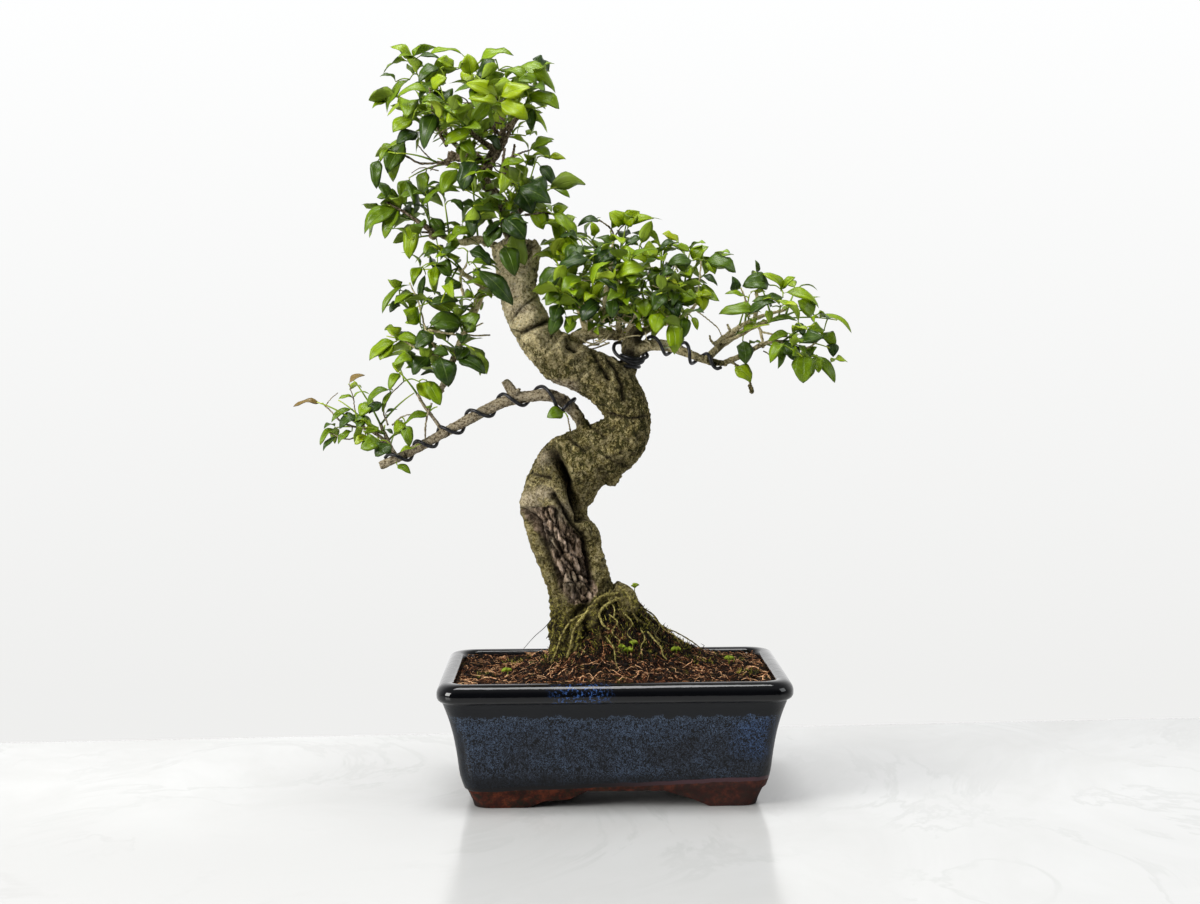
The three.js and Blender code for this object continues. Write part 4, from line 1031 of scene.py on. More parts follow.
def carveWood(wood, outlines):
    mesh = wood.data
    local = toMm(coordinates(mesh))
    normals = vertexNormals(mesh)
    x, y, z = local.T
    front = np.clip((-normals[:, 1] - 0.05) / 0.5, 0, 1)
    # how near a vertex is to the trunk itself, not to a branch
    middles = np.array([[(o[0] + o[2]) / 2, 5 * math.sin(7 * i / len(outlines)), (o[1] + o[3]) / 2] for i,
                        o in enumerate(outlines)])
    halves = np.array([np.hypot(o[2] - o[0], o[3] - o[1]) / 2 for o in outlines])
    tree = KDTree(len(middles))
    for i, middle in enumerate(middles):
        tree.insert(middle, i)
    tree.balance()
    nearest = np.array([tree.find(p)[1] for p in local])
    awayBy = np.linalg.norm(local - middles[nearest], axis=1) / np.maximum(halves[nearest], 18)
    onTrunk = np.clip((1.45 - awayBy) / 0.2, 0, 1)
    sink = np.zeros(len(local))
    dark = np.zeros(len(local))
    # the sunk marks are darkened as painted shade in their grooves and gaps
    for width, depth, shade, *line in trunkMarks.values():
        pull = np.exp(-(lineDistance(x, z, line) / width) ** 2) * front * onTrunk
        sink += depth * pull
        dark = np.maximum(dark, shade * pull)
    for px, pz, radius, out in trunkKnobs:
        sink -= out * np.exp(-((x - px) ** 2 + (z - pz) ** 2) / radius ** 2) * front * onTrunk
    # the dead wood lies lower and is broken into long blocks
    dead = insidePolygon(x, z, deadWood) * 1.0 * (front > 0.05) * (y < 4)
    bend = fractal(local, 9, 6, 2)
    lean = np.stack([x + 0.42 * (z - 180) + 2.2 * bend, y * 0.4, 0.42 * z + 1.5 * bend], axis=1)
    cells = [noise.voronoi(Vector(p) / 4.3) for p in lean]
    blocks = np.array([c[0] for c in cells])
    step = np.array([noise.noise(c[1][0] * 9.7) for c in cells])
    crack = np.clip(1 - (blocks[:, 1] - blocks[:, 0]) / 0.20, 0, 1)
    fibre = fractal(np.stack([x + 0.42 * (z - 180), y, 0.2 * z], axis=1), 2.2, 4, 3)
    sink += dead * (2.0 + 3.4 * crack - 1.5 * fibre - 2.4 * step)
    dark = np.maximum(dark, dead * np.clip(crack * 1.25 - 0.1, 0, 1))
    # painted shade at these places
    for px, py, pz, radius in paintedShadePlaces:
        dark = np.maximum(dark, 1.2 * np.exp(-((x - px) ** 2 + (y - py) ** 2 + (z - pz) ** 2) / radius ** 2))
    # the cut top of the trunk is hollow, dark and ragged, with painted shade in the hollow
    top = stumpTop
    torn = np.array([noise.fractal(Vector((a, 0.25 * c, 3)) / 2.4, 1.0, 2.0, 3) for a, c in zip(x, z)])
    hollow = insidePolygon(x + 2 * torn, z + 2 * torn, top["hollow"]) * 1.0 * (front > 0.05) * onTrunk
    sink += hollow * (top["sink"] - 2.4 * torn)
    dark = np.maximum(dark, hollow * np.clip(0.62 + 0.7 * torn, 0, 1))
    rim = np.clip((z - top["raggedFrom"]) / 6, 0, 1) * onTrunk
    ragTeeth = np.array([noise.noise(Vector((a / 3.1, b / 3.1, 1))) for a, b in zip(x, y)])
    local[:, 2] -= rim * top["ragged"] * np.clip(0.5 + 0.9 * ragTeeth, 0, 1.2)
    dark = np.maximum(dark, rim * np.clip(0.5 + torn, 0, 1))
    pale = np.zeros(len(local))
    for px, pz, wide, tall in palePatches:
        pale = np.maximum(pale, np.exp(-((x - px) / wide) ** 2 - ((z - pz) / tall) ** 2) * front * onTrunk)
    # bark: low swells, small warts and, near the foot, long ribs that run into the roots
    swell = fractal(local, 13, 1, 3)
    warts = fractal(local, 3.4, 2, 3)
    around = np.arctan2(y - 2, x + 16)
    ribs = np.array([noise.fractal(Vector((5.5 * a, 0.028 * h, 5)), 1.0, 2.0, 2) for a, h in zip(around, z)])
    low = np.clip((172 - z) / 50, 0, 1)
    lumps = fractal(local, 6.5, 21, 2)
    # cracks wander over the bark
    wander = fractal(local * (1, 1, 0.8), 12, 12, 2)
    lines = np.clip(1 - np.abs(wander) / 0.06, 0, 1) * np.clip(0.4 + 1.6 * swell, 0, 1) * onTrunk * (1 - dead)
    sink += 0.9 * lines + 2.9 * low * onTrunk * lumps
    dark = np.maximum(dark, 0.7 * lines)
    # where the wood dips into the heap it is covered with earth
    above = z - groundHeight(x, y)
    earth = np.clip((7.5 - above) / 5, 0, 1) * (z < 146) * (x > -20) + np.clip((3 - above) / 3, 0, 1) * (z < 146)
    fine = fractal(local, 1.7, 8, 2)
    sink -= 0.3 * fine
    sink -= (onTrunk * (1.1 * swell + 0.95 * warts) + (1 - onTrunk) * (0.35 * swell + 0.3 * warts)
             + low * onTrunk * 4.0 * ribs)
    # painted shade in the sunk furrows between the ribs near the foot
    dark = np.maximum(dark, low * onTrunk * np.clip(-3.4 * ribs - 1.7 * lumps - 0.25 - 0.9 * warts, 0, 0.95))
    # short wrinkles across the flow of the bends
    wrinkle = np.array([noise.noise(Vector((0.16 * a, 0.16 * b, 0.52 * c))) for a, b, c in local])
    sink += onTrunk * 0.9 * np.clip(1 - np.abs(wrinkle) / 0.10, 0, 1) * (z > 215)
    moveVertices(mesh, toFrame(local - normals * sink[:, None]))
    writeAttribute(mesh, "dark", np.clip(dark, 0, 1))
    writeAttribute(mesh, "dead", dead)
    writeAttribute(mesh, "block", np.clip(0.5 + 0.9 * step + 0.25 * fibre, 0, 1))
    writeAttribute(mesh, "pale", pale)
    writeAttribute(mesh, "earth", np.clip(earth + 0.6 * lumps * (earth > 0), 0, 1))
    # how sunk the bark is, which the bark colour darkens as painted shade
    writeAttribute(mesh, "relief", np.clip(0.5 - 0.45 * warts - 0.10 * swell - 0.2 * fine, 0, 1))
    smooth(wood)
    return wood


# boxes full of thin dry twigs: low and high corner as x, z and y, and how many
dryTangles = {"pad": [(-14,324,-22), (34,350,4), 34], "padInner": [(-30,340,-20), (50,380,20), 34],
              "crown": [(-125,440,-30), (-60,505,20), 30]}


def makeTwigs():
    batch = newBatch()
    for name, branch in branches.items():
        if branch["radii"][0] > woodShape["thick"]:
            continue
        count = 5 * len(branch["route"])
        points = evenPath(branch["route"], count)
        draw = seeded(40 + len(name))
        knotty = np.array([1 + 0.18 * (draw() - 0.5) + 0.12 * (i % 5 == 2) for i in range(count)])
        radii = np.linspace(*branch["radii"], count) * knotty
        points[1:] += 0.5 * jitter(draw, count - 1)
        addTube(batch, points, radii, 8)
    for index, twig in enumerate(sum(bareTwigs.values(), [])):
        draw = seeded(880 + index)
        count = 6 * (len(twig) - 1)
        points = seenPath(twig[1:], count)
        points[1:] += 0.45 * jitter(draw, count - 1)
        knots = np.array([1 + 0.2 * (draw() - 0.5) + 0.22 * (i % 6 == 3) for i in range(count)])
        addTube(batch, points, np.linspace(*twig[0], count) * knots, 7)
    # a tangle of thin dry twigs inside the pad and on the crown's branches
    draw = seeded(4242)
    for low, high, count in dryTangles.values():
        for _ in range(count):
            start = np.array([a + (b - a) * draw() for a, b in zip(low, high)])[[0, 2, 1]]
            heading, rise, length = fullTurn * draw(), 1.4 * draw() - 0.5, 9 + 15 * draw()
            way = unit(wayAt(heading, rise))
            bow = jitter(draw) * 7
            route = [start, start + way * length * 0.5 + bow, start + way * length]
            addTube(batch, evenPath(route, 7), np.linspace(0.45 + 0.35 * draw(), 0.3, 7), 5)
    return batchObject("twigs", batch)


def barkMaterial():
    material, shader = startMaterial("bark", Roughness=0.9, Specular_IOR_Level=0.1)
    point = objectPoint()
    x, y, z = splitPoint(point)[:3]
    fine = noiseAt(point, 1.1, 4, 0.7)
    speck = noiseAt(point, 1.7, 5, 0.75)
    patch = noiseAt(point, 15, 4, 0.6)
    blotch = noiseAt(point, 6, 5, 0.7)
    pale = ramp(speck, [(0.375, (0.06,0.045,0.02)), (0.405, (0.64,0.53,0.28)), (0.52, (0.90,0.77,0.45)),
                        (0.62, (0.98,0.90,0.62))])
    strokes = noiseAt(point, 3.2, 4, 0.7, 2.4)
    olive = ramp(timesPlus(strokes, 0.5, times(speck, 0.5)), [
        (0.405, (0.008,0.007,0.002)), (0.455, (0.085,0.068,0.020)), (0.52, (0.26,0.210,0.078)),
        (0.59, (0.60,0.52,0.24))])
    worn = ramp(speck, [(0.37, (0.035,0.028,0.010)), (0.42, (0.225,0.182,0.078)), (0.58, (0.48,0.41,0.215))])
    olive = mix(fade(blotch, 0.47, 0.58), olive, worn)
    height = timesPlus(patch, 90.0, z)
    upper = fade(height, 340.0, 400.0)
    # the wired arm, left of the trunk
    level = larger(fade(z, 264.0, 268.0), times(fade(x, -60.0, -66.0), fade(z, 236.0, 240.0)))
    arm = times(fade(x, -20.0, -30.0), times(fade(z, 303.0, 297.0), level))
    arm = times(arm, fade(y, 2.0, -4.0))
    colour = mix(upper, olive, pale)
    shadow = times(fade(noiseAt(point, 9, 5, 0.7), 0.54, 0.45), timesPlus(upper, -0.35, 0.42))
    colour = mix(shadow, colour, (0.030,0.025,0.010))
    # the crown's branches are brown
    brown = ramp(speck, [(0.40, (0.035,0.025,0.014)), (0.48, (0.14,0.105,0.065)), (0.60, (0.36,0.29,0.20))])
    colour = mix(fade(z, 398.0, 408.0), colour, brown)
    # dark moss in streaks on the middle, thickest on the underside of the bends
    streak = noiseAt(objectPoint((1.0,1.0,0.6)), 4.2, 6, 0.8, 0.8)
    middle = fade(absolute(minus(height, 330.0)), 85.0, 20.0)
    amount = fade(timesPlus(middle, 0.06, streak), 0.55, 0.585)
    darkMoss = ramp(fine, [(0.4, (0.010,0.010,0.002)), (0.6, (0.045,0.045,0.010))])
    colour = mix(times(amount, timesPlus(upper, -0.7, 0.9)), colour, darkMoss)
    # brighter moss towards the foot
    clump = noiseAt(point, 3.0, 5, 0.8, 0.8)
    moss = ramp(clump, [(0.43, (0.005,0.004,0.001)), (0.49, (0.045,0.039,0.009)), (0.545, (0.17,0.150,0.022)),
                        (0.60, (0.44,0.39,0.07))])
    mossShare = fade(timesPlus(patch, -60.0, timesPlus(speck, -70.0, z)), 97.0, 55.0)
    colour = mix(times(mossShare, 0.8), colour, moss)
    # dead wood: brown-grey blocks with pale pink edges
    grain = noiseAt(objectPoint((1.0,1.0,0.3)), 2.0, 5, 0.75)
    shade = timesPlus(attribute("block"), 0.5, timesPlus(grain, 2.2, -0.86))
    dead = ramp(shade, [(0.1, (0.012,0.008,0.004)), (0.33, (0.12,0.080,0.052)), (0.6, (0.40,0.29,0.21)),
                        (0.9, (0.70,0.55,0.44))])
    colour = mix(times(attribute("dead"), 0.9), colour, dead)
    colour = mix(times(arm, 0.75), colour, ramp(speck,
                                                [(0.41, (0.11,0.078,0.045)), (0.46, (0.36,0.29,0.195)),
                                                 (0.58, (0.58,0.50,0.37))]))
    # wood under the earth of the heap
    soilBrown = ramp(speck, [(0.42, (0.003,0.002,0.001)), (0.5, (0.030,0.018,0.007)), (0.60, (0.14,0.085,0.038))])
    colour = mix(attribute("earth"), colour, soilBrown)
    # painted shade: the bark is darkened in its sunk pits
    pitShade = fade(attribute("relief"), 0.60, 0.82)
    colour = mix(times(pitShade, 0.7), colour, (0.018,0.014,0.006))
    colour = mix(times(attribute("pale"), 0.75), colour,
                 ramp(speck, [(0.40, (0.16,0.12,0.07)), (0.50, (0.50,0.42,0.29)), (0.6, (0.70,0.60,0.45))]))
    # near black where the dark attribute is: cracks, and painted shade in grooves, gaps, furrows, the hollow and
    # shaded places
    colour = mix(times(attribute("dark"), 0.95), colour, (0.008,0.005,0.003))
    put(shader.inputs["Base Color"], colour)
    addBump(shader, timesPlus(fine, 0.6, speck), 1.5)
    return material


heavyWood, trunkOutlines = makeHeavyWood()
bark = barkMaterial()
trunk = finishPiece(carveWood(heavyWood, trunkOutlines), "trunkWood", ["trunk"], [bark])
twigs = makeTwigs()
smooth(twigs)
finishPiece(twigs, "twigWood", ["trunk"], [bark])
print("wood made:", len(trunk.data.polygons), "and", len(twigs.data.polygons), "faces")


# fibres, moss, fine roots and seedlings


groundCover = {
    "fibres": 4600, "length": (6,22), "thick": (0.14,0.42),
    "mossTufts": 4800, "barkTufts": 2200, "mossPatches": [(16,-16,10), (27,-12,9), (-38,-22,9), (-44,-8,10),
                                                          (62,-20,16), (88,10,14), (-70,25,10), (48,30,12),
                                                          (-92,-30,8), (95,-40,9)],
    "fineRoots": 190, "heapMiddle": (0,2),
    # seedlings: place of the foot, height and number of leaves
    "seedlings": [(6,-38,5,4), (10,-40,4,4), (14,-36,5,4), (45,-28,5,5), (-76,-30,5,5), (84,-12,4,4)],
    # roots that show on the heap: thickness, then x, z and depth as the camera sees them
    "shownRoots": [[1.5, (5,143,-26), (-6,142,-30), (-16,134,-33), (-23,125,-35), (-29,116,-37), (-31,107,-41),
                    (-34,96,-45)],
                   [1.0, (-18,129,-32.5), (-30,124,-32), (-37,114,-32), (-42,101,-36), (-46,92,-40)],
                   [1.1, (3,139,-30), (-5,135,-33), (-10,129,-36), (-8,121,-39), (-3,117,-41)],
                   [0.7, (2,140,-31), (6,139,-33), (7,134,-36), (4,131,-36)],
                   [0.5, (20,117,-36), (23,110,-40), (20,104,-46), (21,97,-52)],
                   [0.7, (25,115,-34), (31,108,-38), (35,103,-43), (36,98,-48), (39,94,-52)],
                   [0.5, (-6,112,-42), (0,103,-47), (1,94,-54), (3,88,-60)],
                   [0.7, (20,133,-16), (29,128,-17), (36,119,-20), (47,114,-18), (57,108,-18), (66,101,-18)],
                   [0.8, (4,149,-23), (9,145,-26), (13,138,-28), (14,130,-29), (18,123,-30)],
                   [0.6, (-2,146,-24), (-3,139,-29), (1,132,-32), (0,125,-36)],
                   [0.45, (22,131,-22), (31,124,-20), (38,116,-22), (45,112,-24), (50,104,-26)],
                   [0.5, (30,126,-18), (34,119,-22), (31,112,-28), (34,106,-30)],
                   [0.5, (-3,128,-35), (3,122,-38), (-1,115,-41), (5,108,-44)],
                   [0.4, (9,128,-33), (14,121,-36), (10,114,-40), (16,107,-44)]],
    # loose hairs beside the trunk's foot and over the heap
    "hairs": [[(-44,126,-18), (-50,119,-24), (-58,112,-28), (-66,103,-30)],
              [(-40,120,-20), (-46,108,-28), (-48,98,-34), (-54,92,-36)],
              [(26,118,-24), (34,110,-30), (40,100,-32), (43,93,-34)],
              [(2,124,-30), (8,118,-36), (10,106,-40), (7,97,-40)]],
}


def onGround(x, y):
    return float(groundHeight(np.float64(x), np.float64(y)))


def inBed(x, y):
    return abs(x) < soilShape["halfWidth"] - 2.5 and abs(y) < soilShape["halfDepth"] - 2.5


def makeFibres():
    # coir: short dry fibres that lie, curl and stick out all over the bed
    g = groundCover
    draw = seeded(1701)
    batch = newBatch()
    made = 0
    while made < g["fibres"]:
        if draw() < 0.3:
            reach, angle = 14 + 42 * draw(), fullTurn * draw()
            x, y = reach * math.cos(angle) + 6, reach * math.sin(angle)
        else:
            x, y = (2 * draw() - 1) * 110, (2 * draw() - 1) * 75
        if not inBed(x, y):
            continue
        length = g["length"][0] + (g["length"][1] - g["length"][0]) * draw() ** 1.8
        heading, turn = fullTurn * draw(), (draw() - 0.5) * 3.2
        lift, tilt = 0.4 + 2.4 * draw() ** 2, (0.35 * length * draw() if draw() > 0.82 else 0)
        points = []
        for k in range(5):
            share = k / 4
            reach = length * (share - 0.5)
            px = x + reach * math.cos(heading + turn * (share - 0.5))
            py = y + reach * math.sin(heading + turn * (share - 0.5))
            px, py = np.clip(px, -110.5, 110.5), np.clip(py, -75.5, 75.5)
            points.append((px, py, onGround(px, py) + 0.5 + lift * math.sin(math.pi * share) + tilt * share ** 2 + 0.5 * (draw() - 0.5)))
        thick = g["thick"][0] + (g["thick"][1] - g["thick"][0]) * draw() ** 2
        addTube(batch, np.array(points), np.array([0.5, 1, 1, 0.9, 0.4]) * thick, 3,
                mark=draw() * (0.8 if onGround(x, y) > 98 else 1))
        made += 1
    # crumbs of bark and soil between them
    for _ in range(700):
        x, y = (2 * draw() - 1) * 108, (2 * draw() - 1) * 73
        size, heading = 0.8 + 1.7 * draw() ** 2, fullTurn * draw()
        way = wayAt(heading, 0.5 * (draw() - 0.5)) * size
        foot = np.array([x, y, onGround(x, y) + 0.5])
        addTube(batch, np.array([foot - way, foot, foot + way]), np.array([0.45, 0.8, 0.4]) * size, 5,
                mark=0.45 * draw())
    return batchObject("fibres", batch)


def addBlade(batch, foot, way, length, thick, mark, draw):
    side = jitter(draw) * length * 0.7
    points = np.array([foot - way * 0.4, foot + way * length * 0.5 + side * 0.3, foot + way * length + side])
    addTube(batch, points, np.array([thick, thick * 0.8, thick * 0.25]), 3, mark=mark)


def makeMoss(wood):
    # tufts on the heap, in a few patches of the bed and on the bark near the ground
    g = groundCover
    draw = seeded(2903)
    batch = newBatch()
    made = 0
    while made < g["mossTufts"]:
        if draw() < 0.7:
            reach, angle = 10 + 40 * draw(), fullTurn * draw()
            x, y = reach * math.cos(angle) + 8, 0.9 * reach * math.sin(angle)
        else:
            px, py, radius = g["mossPatches"][int(draw() * len(g["mossPatches"]))]
            reach, angle = radius * draw() ** 0.6, fullTurn * draw()
            x, y = px + reach * math.cos(angle), py + reach * math.sin(angle)
        clump = noise.noise(Vector((x / 7, y / 7, 3)))
        if not inBed(x, y) or clump < 0.5 * draw() - 0.25:
            continue
        way = unit(np.array([draw() - 0.5 + 0.3 * x / 60, draw() - 0.5 + 0.3 * y / 60, 0.5 + 0.5 * draw()]))
        addBlade(batch, np.array([x, y, onGround(x, y) + 0.2]), way, 1.6 + 3.2 * draw() ** 1.5,
                 0.28 + 0.22 * draw(), draw() ** 1.3, draw)
        made += 1
    places = toMm(coordinates(wood.data))
    normals = vertexNormals(wood.data)
    low = np.nonzero((places[:, 2] < 142) & (places[:, 2] > 88))[0]
    made = 0
    while made < g["barkTufts"]:
        i = low[int(draw() * len(low))]
        p, n = places[i], normals[i]
        if draw() < (p[2] - 88) / 58 or noise.noise(Vector(p) / 8) < 0.5 * draw() - 0.25:
            continue
        way = unit(n + 0.8 * np.array([draw() - 0.5, draw() - 0.5, draw() - 0.2]))
        addBlade(batch, p, way, 0.8 + 1.5 * draw() ** 1.5, 0.25 + 0.25 * draw(), draw(), draw)
        made += 1
    return batchObject("moss", batch)


def makeFineRoots():
    # thin roots that run down from the trunk over the heap, some of them loose
    g = groundCover
    draw = seeded(3391)
    batch = newBatch()
    cx, cy = g["heapMiddle"]
    for k in range(g["fineRoots"]):
        angle = fullTurn * draw()
        first, reach = 8 + 12 * draw(), 20 + 34 * draw()
        bend, wave, phase = (draw() - 0.5) * 1.6, 1 + 2.5 * draw(), fullTurn * draw()
        loose = 3.5 * draw() ** 3
        points = []
        for i in range(12):
            share = i / 11
            out = first + reach * share
            a = angle + bend * share + 0.14 * math.sin(wave * fullTurn * share + phase)
            x, y = cx + out * math.cos(a) * 1.1, cy + out * math.sin(a) * 0.9
            z = onGround(x, y) + 1.0 + loose * math.sin(math.pi * share) - 2.2 * share ** 4
            points.append((x, y, z))
        thick = 0.22 + 0.8 * draw() ** 2.6
        addTube(batch, evenPath(points, 16), np.linspace(thick, 0.35 * thick, 16), 6, mark=0.9 * draw() ** 1.5)
    for root in g["shownRoots"]:
        knots = np.array([1 + 0.5 * (draw() - 0.5) for _ in range(34)])
        points = seenPath(root[1:], 34) + 0.5 * root[0] * jitter(draw, 34)
        addTube(batch, points, np.linspace(root[0], 0.6 * root[0], 34) * knots, 8, mark=0.55 + 0.2 * draw())
    for hair in g["hairs"]:
        addTube(batch, seenPath(hair, 18), np.linspace(0.32, 0.18, 18), 5, mark=0.2)
    return batchObject("fineRoots", batch)


def makeSeedlings():
    draw = seeded(611)
    batch = newBatch()
    plants = [(x, y, onGround(x, y), height, count) for x, y, height,
              count in groundCover["seedlings"]] + [(15, -8, 142, 8, 2)]
    for x, y, z, height, count in plants:
        lean = np.array([draw() - 0.5, draw() - 0.5, 0]) * 0.5 * height
        foot, top = np.array([x, y, z - 1]), np.array([x, y, z]) + lean + (0, 0, height * 0.8)
        addTube(batch, evenPath([foot, (foot + top) / 2 + lean * 0.3, top], 6), np.linspace(0.45, 0.3, 6), 5,
                mark=0.55)
        turn = fullTurn * draw()
        for k in range(count):
            angle = turn + k * 2.4
            way = unit(wayAt(angle, 2.6 if count == 2 else 0.5 + 1.1 * draw()))
            size = (3.6 + 2.0 * draw()) * (0.8 if k == count - 1 else 1)
            over = unit(np.array([0, -0.9, 0.75]) - unit(way) * np.dot(unit(way), (0, -0.9, 0.75)))
            side = unit(np.cross(way, over))
            rings = []
            for share, half in ((0.0, 0.12), (0.35, 0.30), (0.6, 0.5), (0.85, 0.36), (1.0, 0.05)):
                middle = top + way * size * share - np.array([0, 0, 0.35 * size * share ** 2])
                rings.append([middle + side * half * size, middle + over * 0.12, middle - side * half * size,
                              middle - over * 0.12])
            addRings(batch, rings, mark=0.75 + 0.25 * draw())
    return batchObject("seedlings", batch)


def threadMaterial(name, stops, rough):
    # dry fibre, moss or root: its colour runs with the strand's own mark
    material, shader = startMaterial(name, Roughness=rough, Specular_IOR_Level=0.2)
    grain = noiseAt(objectPoint(), 2.4, 4, 0.75)
    tone = timesPlus(grain, 1.6, minus(attribute("mark"), 0.8))
    put(shader.inputs["Base Color"], ramp(tone, stops))
    addBump(shader, grain, 0.15)
    return material


fibres = makeFibres()
moss = makeMoss(trunk)
roots = makeFineRoots()
seedlings = makeSeedlings()
for piece in (fibres, moss, roots, seedlings):
    smooth(piece)
finishPiece(fibres, "coirFibres", ["soil"], [threadMaterial("dryCoir", [
    (0.44, (0.005,0.0025,0.001)), (0.63, (0.055,0.020,0.008)), (0.80, (0.40,0.155,0.060)),
    (0.95, (1.0,0.60,0.32))], 0.85)])
finishPiece(moss, "mossTufts", ["soil"], [threadMaterial("greenMoss", [
    (0.38, (0.005,0.005,0.001)), (0.63, (0.050,0.046,0.006)), (0.84, (0.24,0.22,0.024)), (1.0, (0.52,0.48,0.08))],
    0.8)])
finishPiece(roots, "fineRoots", ["trunk"], [threadMaterial("fineRoot", [
    (0.30, (0.008,0.006,0.002)), (0.58, (0.075,0.058,0.016)), (0.80, (0.30,0.26,0.075)), (1.0, (0.60,0.53,0.22))],
    0.8)])
finishPiece(seedlings, "seedlings", ["soil"], [threadMaterial("seedlingGreen", [
    (0.0, (0.06,0.075,0.008)), (0.5, (0.16,0.20,0.012)), (1.0, (0.26,0.35,0.025))], 0.6)])
print("ground covered:", sum(len(p.data.polygons) for p in (fibres, moss, roots, seedlings)), "faces")


# training wire


wires = {
    # the shares of its branch's length where the strand crosses the front, and 1 where it climbs as it goes outwards
    "training_wire_left": {"branch": "wired_arm", "crossings": [0.292,0.439,0.572,0.705,0.81,0.917],
                           "ends": (0.232,0.985),
                           "climb": 1, "stand": (0.1,0.5)},
    "training_wire_right": {"branch": "right_arm", "crossings": [0.205,0.26,0.50,0.715,0.88], "ends": (0.16,0.97),
                            "climb": -1, "stand": (0.4,1.5)},
}
wireRadius = 1.3
# more turns: one about the foot of the left arm, and slack ones about the post
slackTurns = {
    "training_wire_left": [[(-37,-7,276), (-36,-12.5,278), (-33,-15,281.5), (-29,-13,285), (-26.5,-8,286.5),
                            (-28,-3,284), (-33,-2.5,279), (-36,-5,276.5)]],
    "training_wire_right": [
        [(10,3,326), (6,-1,327), (3,-4,326), (2,-6,322.5), (4,-8,318.5), (10,-10,314.5), (17,-10,313.5),
         (23,-8,315), (26.5,-5,317), (25.5,-1,319.5)],
        [(6,-3,317), (10,-9.5,314), (17,-10.5,311.5), (22,-8,312.5), (24,-4,315)]],
}


def wirePath(w):
    # the strand winds about its branch from one crossing of the front to the next
    branch = branches[w["branch"]]
    fine = evenPath(branch["route"], 401)
    tangents = np.array([unit(v) for v in np.gradient(fine, axis=0)])
    marks = [400 * s for s in [w["ends"][0]] + w["crossings"] + [w["ends"][1]]]
    turns = [-0.3] + list(range(len(w["crossings"]))) + [len(w["crossings"]) - 0.55]
    count = int(24 * (turns[-1] - turns[0]))
    points = []
    for turn in np.linspace(turns[0], turns[-1], count):
        place = np.interp(turn, turns, marks)
        i = int(place)
        along = tangents[i]
        front = unit(np.array([0, -1, 0]) - along * np.dot(along, (0, -1, 0)))
        top = np.cross(along, front)
        top = top if top[2] > 0 else -top
        angle = 2 * math.pi * turn
        share = i / 400
        radius = branch["radii"][0] + (branch["radii"][1] - branch["radii"][0]) * share
        slack = w["stand"][0] + (w["stand"][1] - w["stand"][0]) * (0.5 + 0.5 * math.sin(2.4 * turn + 1))
        off = radius + wireRadius + slack
        points.append(fine[i] + off * (front * math.cos(angle) + w["climb"] * top * math.sin(angle)))
    return np.array(points)


def roundWire(points):
    curve = bpy.data.curves.new("strand", "CURVE")
    curve.dimensions = "3D"
    curve.bevel_depth = wireRadius * mm
    curve.bevel_resolution = 3
    curve.use_fill_caps = True
    curve.resolution_u = 2
    spline = curve.splines.new("POLY")
    spline.points.add(len(points) - 1)
    for place, p in zip(spline.points, toFrame(points)):
        place.co = (*p, 1)
    piece = bpy.data.objects.new("strand", curve)
    bpy.context.scene.collection.objects.link(piece)
    pickUp(piece)
    bpy.ops.object.convert(target="MESH")
    return bpy.context.object


def makeWire(name, w):
    path = wirePath(w)
    # even steps, so that no bend of the strand is broken
    strands = [roundWire(evenPath(path[::3], 2 * len(path) // 3 * 2))]
    strands += [roundWire(evenPath(turn, 40)) for turn in slackTurns[name]]
    deselectAll()
    for strand in strands:
        strand.select_set(True)
    bpy.context.view_layer.objects.active = strands[0]
    bpy.ops.object.join()
    piece = bpy.context.object
    smooth(piece)
    return piece


def wireMaterial():
    material, shader = startMaterial("blackWire", Metallic=0.6, Roughness=0.38)
    point = objectPoint()
    wear = noiseAt(point, 3, 4, 0.6)
    put(shader.inputs["Base Color"], ramp(wear, [(0.4, (0.012,0.012,0.014)), (0.75, (0.05,0.05,0.055))]))
    put(shader.inputs["Roughness"], ramp(wear, [(0.3, 0.3), (0.7, 0.5)]))
    addBump(shader, wear, 0.08)
    return material


blackWire = wireMaterial()
for name, w in wires.items():
    finishPiece(makeWire(name, w), name + "Round", [name], [blackWire])
print("wires wound")


# leaves


leafShape = {
    "rows": [0,0.07,0.13,0.22,0.34,0.46,0.58,0.70,0.81,0.925,1],
    "outline": [(0,0.08), (0.07,0.07), (0.10,0.20), (0.13,0.38), (0.21,0.72), (0.32,0.95), (0.42,1.0),
                (0.52,0.99), (0.62,0.93),
                (0.72,0.83), (0.81,0.67), (0.88,0.48), (0.925,0.34), (1,0.0)],
    "thickness": 0.4, "length": 24.5, "width": 12.2,
}


